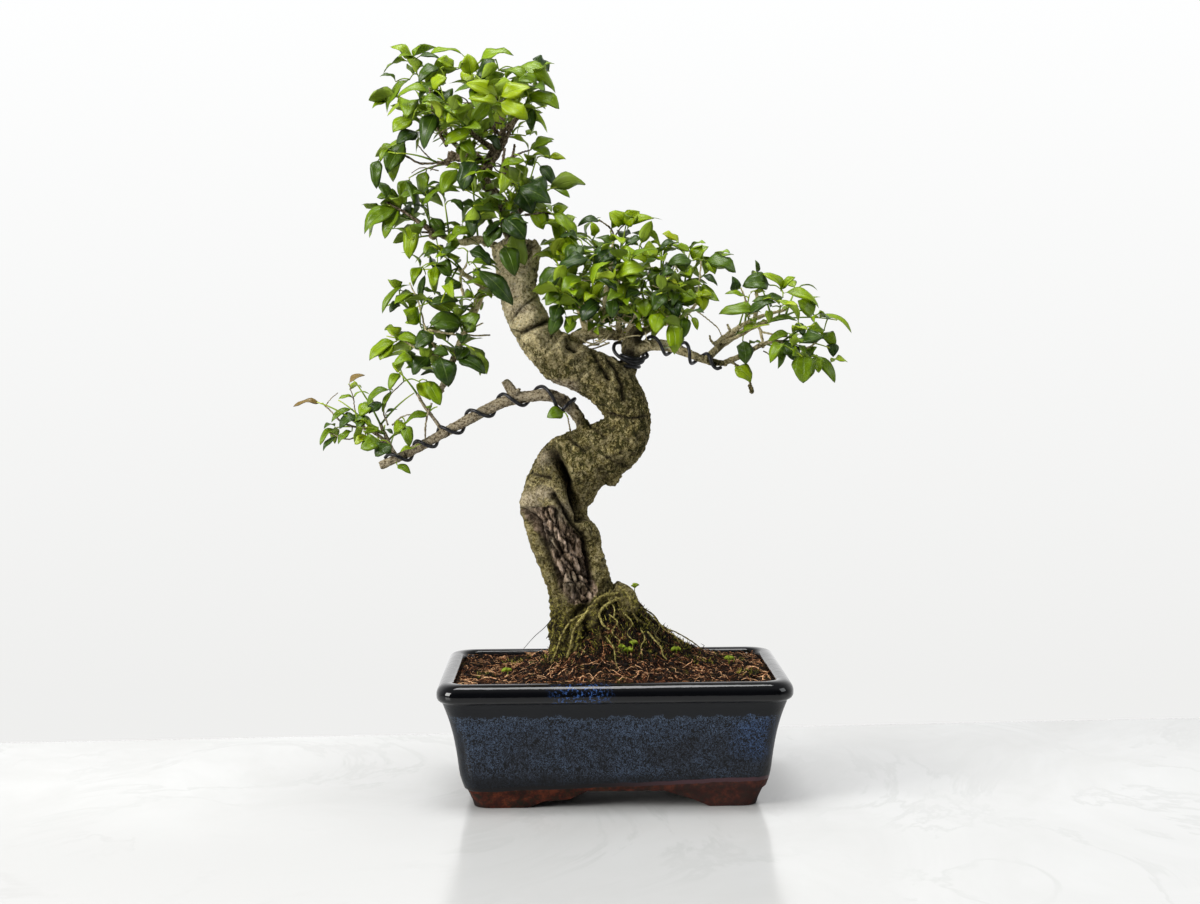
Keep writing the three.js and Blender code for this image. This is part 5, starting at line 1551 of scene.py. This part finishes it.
def makeLeafTemplate():
    # one flat leaf, 1 long and 2 wide, as a closed lens; its copies are bent on to their places
    s = leafShape
    rows = len(s["rows"]) - 1
    deselectAll()
    bpy.ops.mesh.primitive_grid_add(x_subdivisions=4, y_subdivisions=rows, size=1, location=(0, 0, 0))
    leaf = bpy.context.object
    bpy.ops.object.mode_set(mode="EDIT")
    mesh = bmesh.from_edit_mesh(leaf.data)
    for vert in mesh.verts:
        row = int(round((vert.co.y + 0.5) * rows))
        column = vert.co.x * 4
        vert.co = (column / 2, s["rows"][row], 0.0)
    # the lower face is a copy, sewn on along the edge
    bpy.ops.mesh.select_all(action="SELECT")
    bpy.ops.mesh.duplicate_move(TRANSFORM_OT_translate={"value": (0, 0, -0.5)})
    bpy.ops.mesh.flip_normals()
    mesh = bmesh.from_edit_mesh(leaf.data)
    for vert in mesh.verts:
        edge = abs(vert.co.x) > 0.99 or vert.co.y < 0.01 or vert.co.y > 0.99
        vert.co.z = 0.0 if edge else (0.5 if vert.co.z > -0.1 else -0.5)
    bmesh.update_edit_mesh(leaf.data)
    bpy.ops.mesh.select_all(action="SELECT")
    bpy.ops.mesh.remove_doubles(threshold=0.0001)
    bpy.ops.object.mode_set(mode="OBJECT")
    verts = coordinates(leaf.data)
    faces = [tuple(f.vertices) for f in leaf.data.polygons]
    bpy.data.objects.remove(leaf)
    return verts, faces


leafVerts, leafFaces = makeLeafTemplate()


def tipMerged():
    # the last row closes in one point, so its vertices become one
    verts, faces = leafVerts, leafFaces
    tips = [i for i, v in enumerate(verts) if v[1] > 0.99]
    keep = [i for i in range(len(verts)) if i not in tips[1:]]
    number = {old: new for new, old in enumerate(keep)}
    for i in tips:
        number[i] = number[tips[0]]
    placed = verts[keep].copy()
    placed[number[tips[0]], 0] = 0
    made = []
    for face in faces:
        corners = []
        for i in face:
            if number[i] not in corners:
                corners.append(number[i])
        if len(corners) > 2:
            made.append(tuple(corners))
    return placed, made


leafVerts, leafFaces = tipMerged()


def bendLeaf(at, draw):
    # the template's vertices, bent on to one leaf's place: it rises from its stem and arches over
    v, u, layer = leafVerts.T
    if "arch" in at:
        heading, arch, droop = at["heading"], at["arch"], 0.0
    else:
        rise = 0.3 + 0.75 * draw() if at["heading"][2] < 0.1 else 0.3 * draw()
        heading, arch = unit(at["heading"] + (0, 0, rise)), 0.2 + 0.5 * draw()
        droop = 0.45 * at["droop"] + 0.12 * rise + 0.2 * draw()
    face = unit(at["face"] - heading * np.dot(at["face"], heading))
    side = unit(np.cross(heading, face))
    length = at["length"]
    names, widths = zip(*leafShape["outline"])
    # no two margins run alike
    half = at["width"] / 2 * np.interp(u, names, widths) * (1 + 0.04 * np.sin(9 * u + fullTurn * draw() + 2.5 * (v > 0)))
    rib = at["foot"] + np.outer(length * u, heading) + np.outer(length * (arch * (u - u ** 2) - droop * u ** 2),
                                                                face)
    hook = (0.02 + 0.13 * draw()) * length * np.clip((u - 0.66) / 0.34, 0, 1) ** 2
    waves = 0.9 + 0.9 * draw()
    phase = fullTurn * draw()
    amount = (0.3 + 0.7 * draw()) * 0.2 * at["width"]
    wave = amount * np.sin(waves * fullTurn * u + phase + (v > 0) * (1.2 + draw())) * np.abs(v) ** 1.5 * np.clip(u * (1 - u) * 6, 0, 1)
    swing = (draw() - 0.5) * 0.2 * length * u ** 2
    curl = 0.25 * draw()
    lift = at["fold"] * half * np.abs(v) ** 1.2 - curl * half * v ** 4 + wave - hook + layer * leafShape["thickness"]
    twist = (draw() - 0.5) * 0.7 * u ** 2
    acrossPart, overPart = v * half, lift
    turnedAcross = acrossPart * np.cos(twist) - overPart * np.sin(twist) * 0.3 + swing
    turnedOver = overPart + acrossPart * np.sin(twist)
    return rib + np.outer(turnedAcross, side) + np.outer(turnedOver, face)


def around(axis, angle):
    across = unit(np.cross(axis, (1, 0, 0) if abs(axis[2]) > 0.95 else (0, 0, 1)))
    over = np.cross(across, axis)
    return across * math.cos(angle) + over * math.sin(angle)


def leavesOfNode(name):
    # each blade of a shoot in the source, read back as its foot, directions and sizes
    mesh = bmesh.new()
    mesh.from_mesh(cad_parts[name].data)
    bmesh.ops.remove_doubles(mesh, verts=mesh.verts, dist=2e-6)
    found = []
    for tip in mesh.verts:
        if len(tip.link_faces) != 4:
            continue
        ring = [edge.other_vert(tip) for edge in tip.link_edges]
        narrow = pairUp(ring)
        if narrow is None:
            continue
        beyond = {edge.other_vert(v) for v in ring for edge in v.link_edges} - set(ring) - {tip}
        wide = pairUp(list(beyond)) if len(beyond) == 4 else None
        if wide is None:
            continue
        base = {edge.other_vert(v) for v in beyond for edge in v.link_edges} - set(ring) - beyond
        if len(base) != 4:
            continue
        foot = sum((v.co for v in base), Vector()) / 4
        found.append([np.array(p) for p in (foot, tip.co, *narrow, *wide)])
    mesh.free()
    return [readLeaf(*f) for f in found]


def pairUp(ring):
    # the two vertices on the rib lie close together, the other two are the blade's edges
    if len(ring) != 4:
        return None
    pairs = [(0, 1, 2, 3), (0, 2, 1, 3), (0, 3, 1, 2), (1, 2, 0, 3), (1, 3, 0, 2), (2, 3, 0, 1)]
    a, b, c, d = min(pairs, key=lambda p: (ring[p[0]].co - ring[p[1]].co).length)
    thin, broad = (ring[a].co - ring[b].co).length, (ring[c].co - ring[d].co).length
    if thin > 1.2 * mm or broad < 4 * mm:
        return None
    return (ring[a].co + ring[b].co) / 2, ring[c].co, ring[d].co


def readLeaf(foot, tip, rib, edgeA, edgeB, *_):
    foot, tip, rib, edgeA, edgeB = (toMm(p) for p in (foot, tip, rib, edgeA, edgeB))
    a, b = tip - foot, rib - foot
    ahead = (b - 0.3844 * a) / 0.2356
    down = ahead - a
    length = np.linalg.norm(ahead)
    heading = ahead / length
    face = unit(down - heading * np.dot(down, heading))
    half = np.linalg.norm(edgeA - edgeB) / 2 / 0.94
    fold = np.dot((edgeA + edgeB) / 2 - rib, face) / half
    return {"foot": foot, "heading": heading, "face": face, "length": length, "width": 2 * half,
            "droop": np.linalg.norm(down) / length, "fold": fold}


def ruleLeaves(curve, pairs, seed, start, scale=1.0):
    # leaves in pairs that turn by a right angle, as the source grows them
    draw = seeded(seed + 1)
    made = []
    for i in range(pairs):
        share = 0.3 + 0.68 * i / max(pairs - 1, 1)
        size = scale * (0.85 if i == pairs - 1 else 1)
        for which in (0, 1):
            d = [draw() for _ in range(8)]
            point, along = curve(share)
            out = around(along, -(start + (i % 2 + 2 * which + 1) * math.pi / 2))
            heading = unit(out * 0.85 + along * 0.45 - np.array([0, 0, 0.45 * d[0] - 0.15]))
            sky = np.array([1.1 * (d[1] - 0.5), 1.1 * (d[2] - 0.5), 1]) + out * 0.25
            face = unit(sky - heading * np.dot(sky, heading))
            made.append({"foot": point + out * 0.6, "heading": heading, "face": face,
                         "length": leafShape["length"] * size * (0.66 + 0.42 * d[3]),
                         "width": leafShape["width"] * size * (0.72 + 0.34 * d[4]),
                         "droop": 0.14 + 0.34 * d[5], "fold": 0.1 + 0.4 * d[6]})
    return made


def stemCurve(foot, tip):
    bow = (foot + tip) / 2 + np.array([0, 0, 0.12 * np.linalg.norm(tip - foot)])

    def at(t):
        point = (1 - t) ** 2 * foot + 2 * t * (1 - t) * bow + t * t * tip
        return point, unit(2 * (1 - t) * (bow - foot) + 2 * t * (tip - bow))
    return at


# leaves that stand out, as the camera sees them against the trunk's plane:
# x and z of foot and tip, depth, width, how far the face turns to the front, tone (below zero: young
# and brown) and arch
placedLeaves = {
    "crownFoliage": [
        (-141,532,-157,542,-8,9,60,.55), (-141,532,-136,543,-8,4,60,.4), (-140,532,-121,533,-12,7,25,.08),
        (-105,535,-131,537,-5,9,30,.45), (-100,521,-102,536,-25,13,80,.62), (-112,526,-124,533,-22,9,60,.55),
        (-95,529,-70,536,-12,11,40,.42), (-82,532,-95,516,-20,11,60,.06), (-122,526,-139,518,-18,10,50,.12),
        (-128,511,-118,520,-30,12,60,.66), (-129,509,-154,508,-24,9,38,.4), (-144,518,-162,495,-6,9,45,.33,.6),
        (-160,501,-172,498,-8,5,45,.5), (-154,516,-165,522,-6,5,40,.15), (-80,524,-56,515,-14,11,40,.38),
        (-69,526,-37,511,-8,13,42,.4,.7), (-43,523,-55,532,-2,12,50,.03), (-59,506,-36,497,-12,15,55,.44,.6),
        (-80,505,-103,517,-45,12,66,.7,.2), (-80,505,-58,513,-45,13,66,.72,.2),
        (-80,501,-102,506,-48,10,58,.68,.2),
        (-80,501,-59,491,-48,13,68,.7,.2), (-60,497,-56,481,-20,9,70,.06), (-118,501,-136,502,-30,9,45,.3),
        (-112,498,-120,487,-35,11,75,.4), (-125,495,-135,468,-34,14,65,.08), (-142,489,-156,480,-12,13,60,.5),
        (-138,480,-154,472,-14,12,60,.02), (-150,478,-157,445,-6,14,70,.5), (-148,473,-160,451,-12,14,70,.16),
        (-167,461,-170,440,-12,9,70,.12), (-156,472,-167,460,-10,7,50,.4), (-100,480,-119,471,-36,12,60,.5),
        (-108,473,-99,462,-34,9,60,.35), (-110,454,-123,436,-28,11,70,.38), (-97,459,-106,438,-38,15,65,.02),
        (-57,467,-40,474,-10,9,55,.35), (-56,470,-44,460,-10,9,55,.3), (-46,461,-32,461,-4,6,55,.78),
        (-78,467,-90,476,-20,8,60,.04), (-51,456,-40,440,-14,9,65,.03), (-43,441,-30,432,-10,6,55,.35),
        (-67,441,-44,427,-34,15,60,.04), (-61,458,-79,456,-32,9,45,.45), (-81,448,-94,447,-36,9,50,.5),
        (-67,438,-56,422,-28,16,75,0), (-52,512,-66,518,-20,10,50,.3), (-118,515,-138,505,-20,11,50,.2)],
    "shoulderFoliage": [
        (-152,434,-169,434,-8,8,60,.3), (-153,427,-178,407,-16,14,55,.3,.5), (-153,425,-163,404,-18,11,60,.36),
        (-142,415,-146,389,-16,12,75,.56), (-154,431,-135,436,-12,8,45,.28), (-123,444,-136,437,-10,4,35,.1),
        (-78,418,-62,403,-42,17,65,.03), (-81,413,-88,396,-38,13,70,.1), (-97,425,-102,405,-36,11,65,.04),
        (-57,423,-48,410,-18,11,60,.5), (-42,421,-23,400,-20,11,55,.45), (-40,418,-37,396,-16,10,60,.4),
        (-40,418,-31,426,-14,9,60,.5), (-100,412,-118,402,-30,10,50,.4), (-136,427,-110,438,-20,11,45,.3),
        (-116,431,-106,424,-24,6,50,.1), (-130,419,-121,405,-14,9,60,.15), (-97,381,-72,354,-36,14,60,.04,.5),
        (-104,394,-86,385,-34,11,45,.03), (-103,384,-83,385,-30,9,45,.3), (-110,396,-124,389,-28,7,40,.1),
        (-125,398,-136,394,-18,11,60,.4), (-126,386,-115,378,-22,11,60,.14), (-127,384,-129,369,-20,9,60,.5),
        (-137,383,-144,372,-12,8,55,.45), (-134,378,-139,356,-14,5,50,.06), (-78,398,-70,376,-34,14,70,.12)],
    "hangingFoliage": [
        (-145,370,-168,351,-10,7,35,.35,.8), (-141,356,-150,360,-12,12,65,.5), (-153,357,-161,351,-8,7,60,.04),
        (-139,342,-151,351,-14,13,65,.45), (-108,340,-132,342,-24,16,60,.16,.7), (-137,336,-132,363,-16,6,40,.45),
        (-109,358,-132,356,-22,10,40,.08,.5), (-109,372,-120,365,-24,12,60,.12), (-106,372,-87,367,-20,9,45,.35),
        (-107,336,-96,349,-20,15,70,.28), (-128,334,-144,325,-22,13,55,.08), (-156,332,-138,325,-20,10,50,.4),
        (-154,330,-163,338,-14,10,55,.6), (-156,329,-177,317,-12,10,50,.5,.5), (-158,328,-169,316,-14,11,60,.55),
        (-132,318,-145,305,-20,14,60,.06), (-146,323,-146,310,-16,8,60,.1), (-125,318,-120,296,-30,17,65,.06),
        (-130,322,-118,320,-26,9,55,.1), (-113,317,-91,306,-22,13,50,.06,.5), (-104,324,-113,316,-18,12,60,.1),
        (-153,308,-159,314,-14,9,65,.5), (-153,306,-162,294,-12,8,50,.42,.8), (-140,300,-133,286,-18,11,65,.62),
        (-135,301,-126,282,-20,11,65,.42)],
    "wiredTipFoliage": [
        (-211,284,-232,283,-14,5,40,-.5), (-188,288,-199,288,-14,4,40,.45), (-188,288,-177,292,-14,4,35,.5),
        (-191,298,-180,306,-14,5,50,-.5), (-189,280,-205,272,-16,6,45,.3,.6), (-202,266,-214,255,-18,6,45,.35),
        (-201,260,-211,250,-20,5,45,.1), (-189,264,-199,254,-20,6,50,.3), (-179,261,-188,255,-24,10,65,.78),
        (-169,257,-183,251,-28,12,70,.33), (-161,254,-172,245,-26,12,60,.08), (-161,294,-178,284,-16,8,40,.3,.7),
        (-168,285,-176,276,-18,9,60,.03), (-176,283,-184,276,-20,10,60,.45), (-185,275,-199,267,-18,10,50,.08),
        (-179,275,-186,266,-22,9,60,.22), (-170,267,-179,262,-22,8,60,.4), (-150,270,-159,263,-16,9,60,.5),
        (-152,268,-146,253,-18,9,60,.33), (-130,276,-151,270,-14,7,40,.3,.4), (-145,251,-155,249,-22,4,50,.5),
        (-157,239,-147,233,-16,6,55,.35), (-159,294,-167,278,-14,4,45,.4), (-165,275,-156,280,-14,3,45,.08),
        (-35,277,-47,273,-16,10,70,.3)],
    "padFoliage": [
        (10,412,0,421,-6,13,70,.6), (10,412,31,419,-6,8,65,.58), (10,412,21,422,-6,12,75,.62),
        (-7,415,-23,412,-10,8,45,.04,.8), (-11,404,-14,414,-14,7,70,.6), (-24,402,-35,390,-24,13,60,.5),
        (-23,402,-37,405,-28,9,40,.06), (3,394,-10,383,-30,15,60,.02), (24,401,10,396,-22,8,40,.04),
        (35,394,23,392,-20,13,60,.62), (48,399,36,394,-14,6,40,.04), (50,399,38,405,-4,8,50,.86),
        (61,386,70,397,-4,11,60,.5), (58,393,48,397,-6,7,55,.5), (69,386,92,379,-8,13,50,.2,.8),
        (70,386,77,377,-10,8,60,.5), (66,375,77,367,-12,6,45,.04), (60,386,42,383,-26,11,50,.12),
        (26,381,3,375,-40,14,48,.55), (21,393,4,387,-30,10,45,.5), (47,378,36,375,-30,8,45,.06),
        (50,367,38,372,-34,6,45,.9), (-14,374,5,365,-42,10,50,.04), (2,370,8,358,-40,10,65,.65),
        (21,364,10,360,-38,9,50,.05), (2,359,0,345,-40,10,75,.06), (23,359,26,346,-34,12,70,.45),
        (41,357,50,346,-34,12,65,.02), (63,360,48,356,-28,10,55,.4), (64,365,69,350,-16,11,65,.72),
        (64,361,74,362,-16,7,60,.7), (37,349,31,334,-38,13,65,.5), (44,343,48,319,-36,12,70,.5),
        (53,346,50,328,-32,13,75,.18), (59,345,64,336,-18,5,60,.6), (-37,381,-51,365,-36,15,60,.12),
        (-15,388,-40,380,-42,12,48,.03), (-21,375,-36,364,-40,14,60,.38), (-37,363,-48,355,-36,11,60,.3),
        (-37,356,-43,343,-34,11,65,.04), (-28,345,-32,334,-30,9,70,.3), (-8,356,-23,345,-34,14,60,0),
        (-46,421,-53,414,-14,10,60,.5), (-20,398,-32,384,-34,13,55,.1), (40,362,30,350,-36,12,65,.1)],
    "rightTipFoliage": [
        (116,368,97,367,-10,15,60,.12,.9), (91,363,88,374,-10,8,75,.03), (98,360,84,362,-14,5,50,.5),
        (106,349,79,348,-20,11,58,.33), (99,345,120,356,-22,9,45,.06), (125,364,112,378,-8,9,55,.55),
        (124,364,134,374,-6,7,50,.5), (126,362,152,352,-4,9,42,.5,.8), (148,346,137,356,-6,14,70,.4),
        (150,345,176,333,-6,7,38,.5,.9), (156,335,143,333,-8,9,55,.45), (153,332,164,325,-6,10,60,.35),
        (161,326,162,316,-8,9,70,.03), (150,317,162,296,-12,9,55,.3,.5), (141,318,139,297,-22,17,75,.33),
        (123,325,137,314,-18,12,60,.12), (148,316,152,304,-14,9,60,.45), (144,316,150,323,-12,7,60,.3),
        (96,328,99,311,-12,12,80,.1), (90,309,102,298,-10,12,60,.6), (137,340,122,358,-16,8,50,.55),
        (137,341,112,342,-14,5,40,.3), (134,339,142,331,-14,8,60,.04), (130,333,115,327,-16,8,50,.35),
        (126,359,112,356,-14,8,45,.08), (107,377,106,386,-10,4,60,.1), (118,352,104,358,-16,9,50,.2)],
}

# where the wall shows between the leaves: left, low, right and high
openPlaces = [(-222,283,-208,294), (-202,297,-188,308), (-158,442,-120,471), (-125,411,-104,434),
              (-86,467,-68,483),
    (-54,478,-27,498), (-43,430,-24,459), (-172,374,-150,402), (-132,344,-112,356), (-95,318,-70,352),
    (-180,340,-168,366), (52,398,90,430), (76,330,100,366), (-70,396,-48,414), (-60,336,-40,352), (-26,404,2,412),
    (-34,486,-20,500)]

foliage = {
    # its branches, how many short sprigs fill each of them, and the size and the lightness of its leaves
    "crownFoliage": {"branches": ["leader", "crown_left", "crown_twig", "crown_right", "crown_top_right",
                                  "crown_back",
                                  "crown_front", "crown_back_left"], "sprigs": 4, "scale": 1.0, "light": 0.06,
                                  "keep": 0.58},
    "shoulderFoliage": {"branches": ["shoulder_back", "shoulder_front", "left_arm"], "sprigs": 4, "scale": 1.0,
                        "light": -0.02, "keep": 0.5},
    "hangingFoliage": {"branches": ["hanging_arm", "hanging_fork"], "sprigs": 2, "scale": 0.95, "light": 0.0,
                       "keep": 0.36},
    "wiredTipFoliage": {"branches": ["wired_twig_up", "wired_twig_end", "wired_twig_left"], "sprigs": 1,
                        "scale": 0.62, "light": -0.06, "keep": 0.12},
    "padFoliage": {"branches": ["pad_arm", "pad_left_up", "pad_left_front", "pad_top", "pad_front", "pad_back",
                                "pad_top_right",
                                "pad_back_right", "pad_low"], "sprigs": 5, "scale": 0.92, "light": 0.0,
                                "keep": 0.72},
    "rightTipFoliage": {"branches": ["right_fork_up", "right_fork_low"], "sprigs": 1, "scale": 0.85,
                        "light": 0.05, "keep": 0.35},
}


def planShoots():
    # every shoot's stem, from the nearest free point of its branch to its tip
    taken, plans = [], []
    for index, (name, branch) in enumerate(branches.items()):
        spots = evenPath(branch["route"], 0.25 + 0.745 * np.arange(60) / 59)
        for k, tip in enumerate(branch["tips"]):
            tip = np.array(tip, float)
            free = [p for p in spots if all(np.linalg.norm(p - t) > 7.5 for t in taken)]
            foot = min(free, key=lambda p: np.linalg.norm(p - tip))
            taken.append(foot)
            seed = 5000 + 97 * index + 11 * k
            plans.append({"branch": name, "node": name + "_shoot_%d" % (k + 1), "foot": foot, "tip": tip,
                          "seed": seed})
    for index, (name, branch) in enumerate(branches.items()):
        spots = evenPath(branch["route"], np.linspace(0.2, 1, 60))
        for k, tip in enumerate(branch.get("more", [])):
            tip = np.array(tip, float)
            foot = min(spots, key=lambda p: np.linalg.norm(p - tip) + 9 * sum(np.linalg.norm(p - t) < 5
                    for t in taken))
            taken.append(foot)
            plans.append({"branch": name, "node": None, "foot": foot, "tip": tip,
                          "seed": 9000 + 97 * index + 11 * k})
    return plans


def addSprigs(plans, group, seed):
    # short side shoots with small leaves, all along the thin branches
    draw = seeded(seed)
    for name in group["branches"]:
        for k in range(group["sprigs"]):
            t = 0.3 + 0.68 * (k + draw()) / group["sprigs"]
            foot = evenPath(branches[name]["route"], [t])[0]
            angle, rise, length = fullTurn * draw(), 0.9 * draw() - 0.1, 9 + 9 * draw()
            way = unit(wayAt(angle, rise))
            plans.append({"branch": name, "node": None, "foot": foot, "tip": foot + length * way,
                          "seed": int(seed + 31 * k + 7 * len(plans)),
                          "pairs": 2 + int(2 * draw()), "scale": 0.55 + 0.3 * draw()})


def makeFoliage(name, group, plans):
    stems = newBatch()
    leaves, tones, count = [], [], 0
    anchors = [p for b in group["branches"] for p in evenPath(branches[b]["route"], np.linspace(0.3, 1, 12))]
    anchors += [seenAt(*p) for twig in sum(bareTwigs.values(), []) for p in twig[2:]]
    heights = [tip[2] for b in group["branches"] for tip in branches[b]["tips"]]
    span = (min(heights) - 25, max(heights))
    for plan in (p for p in plans if p["branch"] in group["branches"]):
        curve = stemCurve(plan["foot"], plan["tip"])
        length = np.linalg.norm(plan["tip"] - plan["foot"])
        draw = seeded(plan["seed"] + 7)
        points = np.array([curve(t)[0] for t in np.linspace(-0.02, 0.99, 9)])
        thick = 0.7 if "pairs" in plan else 0.9
        addTube(stems, points, np.linspace(thick, 0.45, 9), 6, mark=np.linspace(0, 1, 9), kind=1)
        if plan["node"]:
            placed = leavesOfNode(plan["node"])
        else:
            pairs = plan.get("pairs") or int(np.clip(round(length / 9), 3, 4))
            placed = ruleLeaves(curve, pairs, plan["seed"], fullTurn * seeded(plan["seed"])(),
                                plan.get("scale", 1.0))
        young = draw()
        anchors.extend(points[2:])
        for at in placed:
            seenX, seenZ = seenOver(at["foot"] + 0.6 * at["length"] * at["heading"])
            if draw() > group["keep"] or any(a < seenX < c and b < seenZ < d for a, b, c, d in openPlaces):
                continue
            size = group["scale"] * (0.82 + 0.26 * draw())
            at["length"] *= size * 1.04
            at["width"] *= size
            leaves.append(bendLeaf(at, draw))
            high = (at["foot"][2] - span[0]) / (span[1] - span[0])
            tones.append(np.clip(group["light"] + 0.42 * young ** 2 + 0.5 * (draw() - 0.42) + 0.34 * high ** 2, 0,
                                 1))
            count += 1
    draw = seeded(77 + len(name))
    for entry in placedLeaves[name]:
        footX, footZ, tipX, tipZ, depth, width, turn, tone = entry[:8]
        foot, tip = seenAt(footX, footZ, depth + 2), seenAt(tipX, tipZ, depth - 4)
        heading = unit(tip - foot)
        upright = unit(np.array([0, 0, 1]) - heading * heading[2])
        front = unit(np.array([0, -1, 0]) + heading * heading[1])
        angle = math.radians(turn)
        singleLeaf = {"foot": foot, "heading": heading,
                      "face": upright * math.cos(angle) + front * math.sin(angle),
                      "length": np.linalg.norm(tip - foot), "width": width * 1.02, "fold": 0.2 + 0.3 * draw()}
        singleLeaf["arch"] = entry[8] if len(entry) > 8 else 0.4 + 0.5 * draw()
        leaves.append(bendLeaf(singleLeaf, draw))
        tones.append(tone)
        count += 1
        # a short stalk joins it to the nearest stem
        near = min(anchors, key=lambda p: np.linalg.norm(p - foot))
        bow = (near + foot) / 2 + np.array([0, 0, 0.15 * np.linalg.norm(foot - near)])
        addTube(stems, evenPath([near, bow, foot + heading * 0.5], 7), np.linspace(0.6, 0.4, 7), 5, mark=0.7,
                kind=1)
        anchors.append(foot)
    blades = np.concatenate(leaves)
    size = len(leafVerts)
    offset = stems["count"]
    stems["verts"].append(blades)
    for i in range(count):
        stems["faces"].extend(tuple(offset + i * size + j for j in face) for face in leafFaces)
        stems["kinds"].extend([0] * len(leafFaces))
    stems["marks"].append(np.repeat(tones, size))
    piece = batchObject(name, stems)
    mesh = piece.data
    # the leaf's own map: x across, y from foot to tip
    layer = mesh.uv_layers.new(name="blade")
    corners = np.zeros(len(mesh.loops), int)
    mesh.loops.foreach_get("vertex_index", corners)
    onLeaf = corners >= offset
    template = (corners - offset) % size
    uv = np.stack([0.5 + 0.5 * leafVerts[template, 0], leafVerts[template, 1]], axis=1)
    uv[~onLeaf] = (0.5, 0.5)
    layer.data.foreach_set("uv", uv.ravel())
    under = np.concatenate([np.zeros(len(mesh.polygons) - count * len(leafFaces)),
                            np.tile([float(min(leafVerts[list(f), 2]) < -0.1) for f in leafFaces], count)])
    writeAttribute(mesh, "under", under, "FACE")
    smooth(piece)
    return piece, count


def leafMaterial():
    material, shader = startMaterial("privetLeaf", Coat_Weight=0.09, Coat_Roughness=0.33, Specular_IOR_Level=0.28)
    coords = addNode("UVMap")
    coords.uv_map = "blade"
    across, along = splitPoint(coords.outputs[0])[:2]
    point = objectPoint()
    tone = attribute("mark")
    under = attribute("under")
    mottle = noiseAt(point, 4, 3, 0.6)
    # leaf tones from dark green to yellow-green young leaves, made lighter overall as painted light for the light
    # that shines through them
    colour = ramp(timesPlus(mottle, 0.25, minus(tone, 0.12)), [
        (0.0, (0.014,0.038,0.004)), (0.22, (0.066,0.126,0.003)), (0.45, (0.190,0.300,0.002)),
        (0.7, (0.27,0.375,0.001)), (1.0, (0.36,0.41,0.002))])
    colour = mix(fade(tone, -0.1, -0.3), colour, (0.20,0.13,0.035))
    out = absolute(minus(across, 0.5))
    rib = fade(out, 0.040, 0.008)
    curved = minus(times(along, 8.0), times(out, 6.0))
    stripe = absolute(minus(sums("FRACT", curved), 0.5))
    veins = fade(stripe, 0.06, 0.0)
    lines = larger(rib, times(veins, 0.3))
    pale = mix(0.6, colour, (0.24,0.36,0.05))
    colour = mix(times(lines, 0.4), colour, pale)
    below = mix(0.5, colour, (0.27,0.37,0.030))
    colour = mix(under, colour, below)
    put(shader.inputs["Base Color"], colour)
    put(shader.inputs["Roughness"], timesPlus(under, 0.25, timesPlus(mottle, 0.15, 0.28)))
    height = minus(times(mottle, 0.5), lines)
    addBump(shader, height, 0.25)
    return material


def stemMaterial():
    material, shader = startMaterial("greenStem", Roughness=0.6)
    point = objectPoint()
    speck = noiseAt(point, 1.6, 3, 0.6)
    woody = ramp(speck, [(0.3, (0.07,0.045,0.02)), (0.7, (0.22,0.16,0.08))])
    green = ramp(speck, [(0.3, (0.07,0.12,0.02)), (0.7, (0.18,0.26,0.05))])
    colour = mix(fade(attribute("mark"), 0.35, 0.95), woody, green)
    put(shader.inputs["Base Color"], colour)
    addBump(shader, speck, 0.2)
    return material


leafGreen, stemGreen = leafMaterial(), stemMaterial()
shootPlans = planShoots()
leafCount = 0
for name, group in foliage.items():
    addSprigs(shootPlans, group, 300 + len(name))
    piece, count = makeFoliage(name, group, shootPlans)
    nodes = [p["node"] for p in shootPlans if p["branch"] in group["branches"] and p["node"]]
    finishPiece(piece, name, nodes, [leafGreen, stemGreen])
    leafCount += count
print("foliage made:", leafCount, "leaves on", len(shootPlans), "shoots")
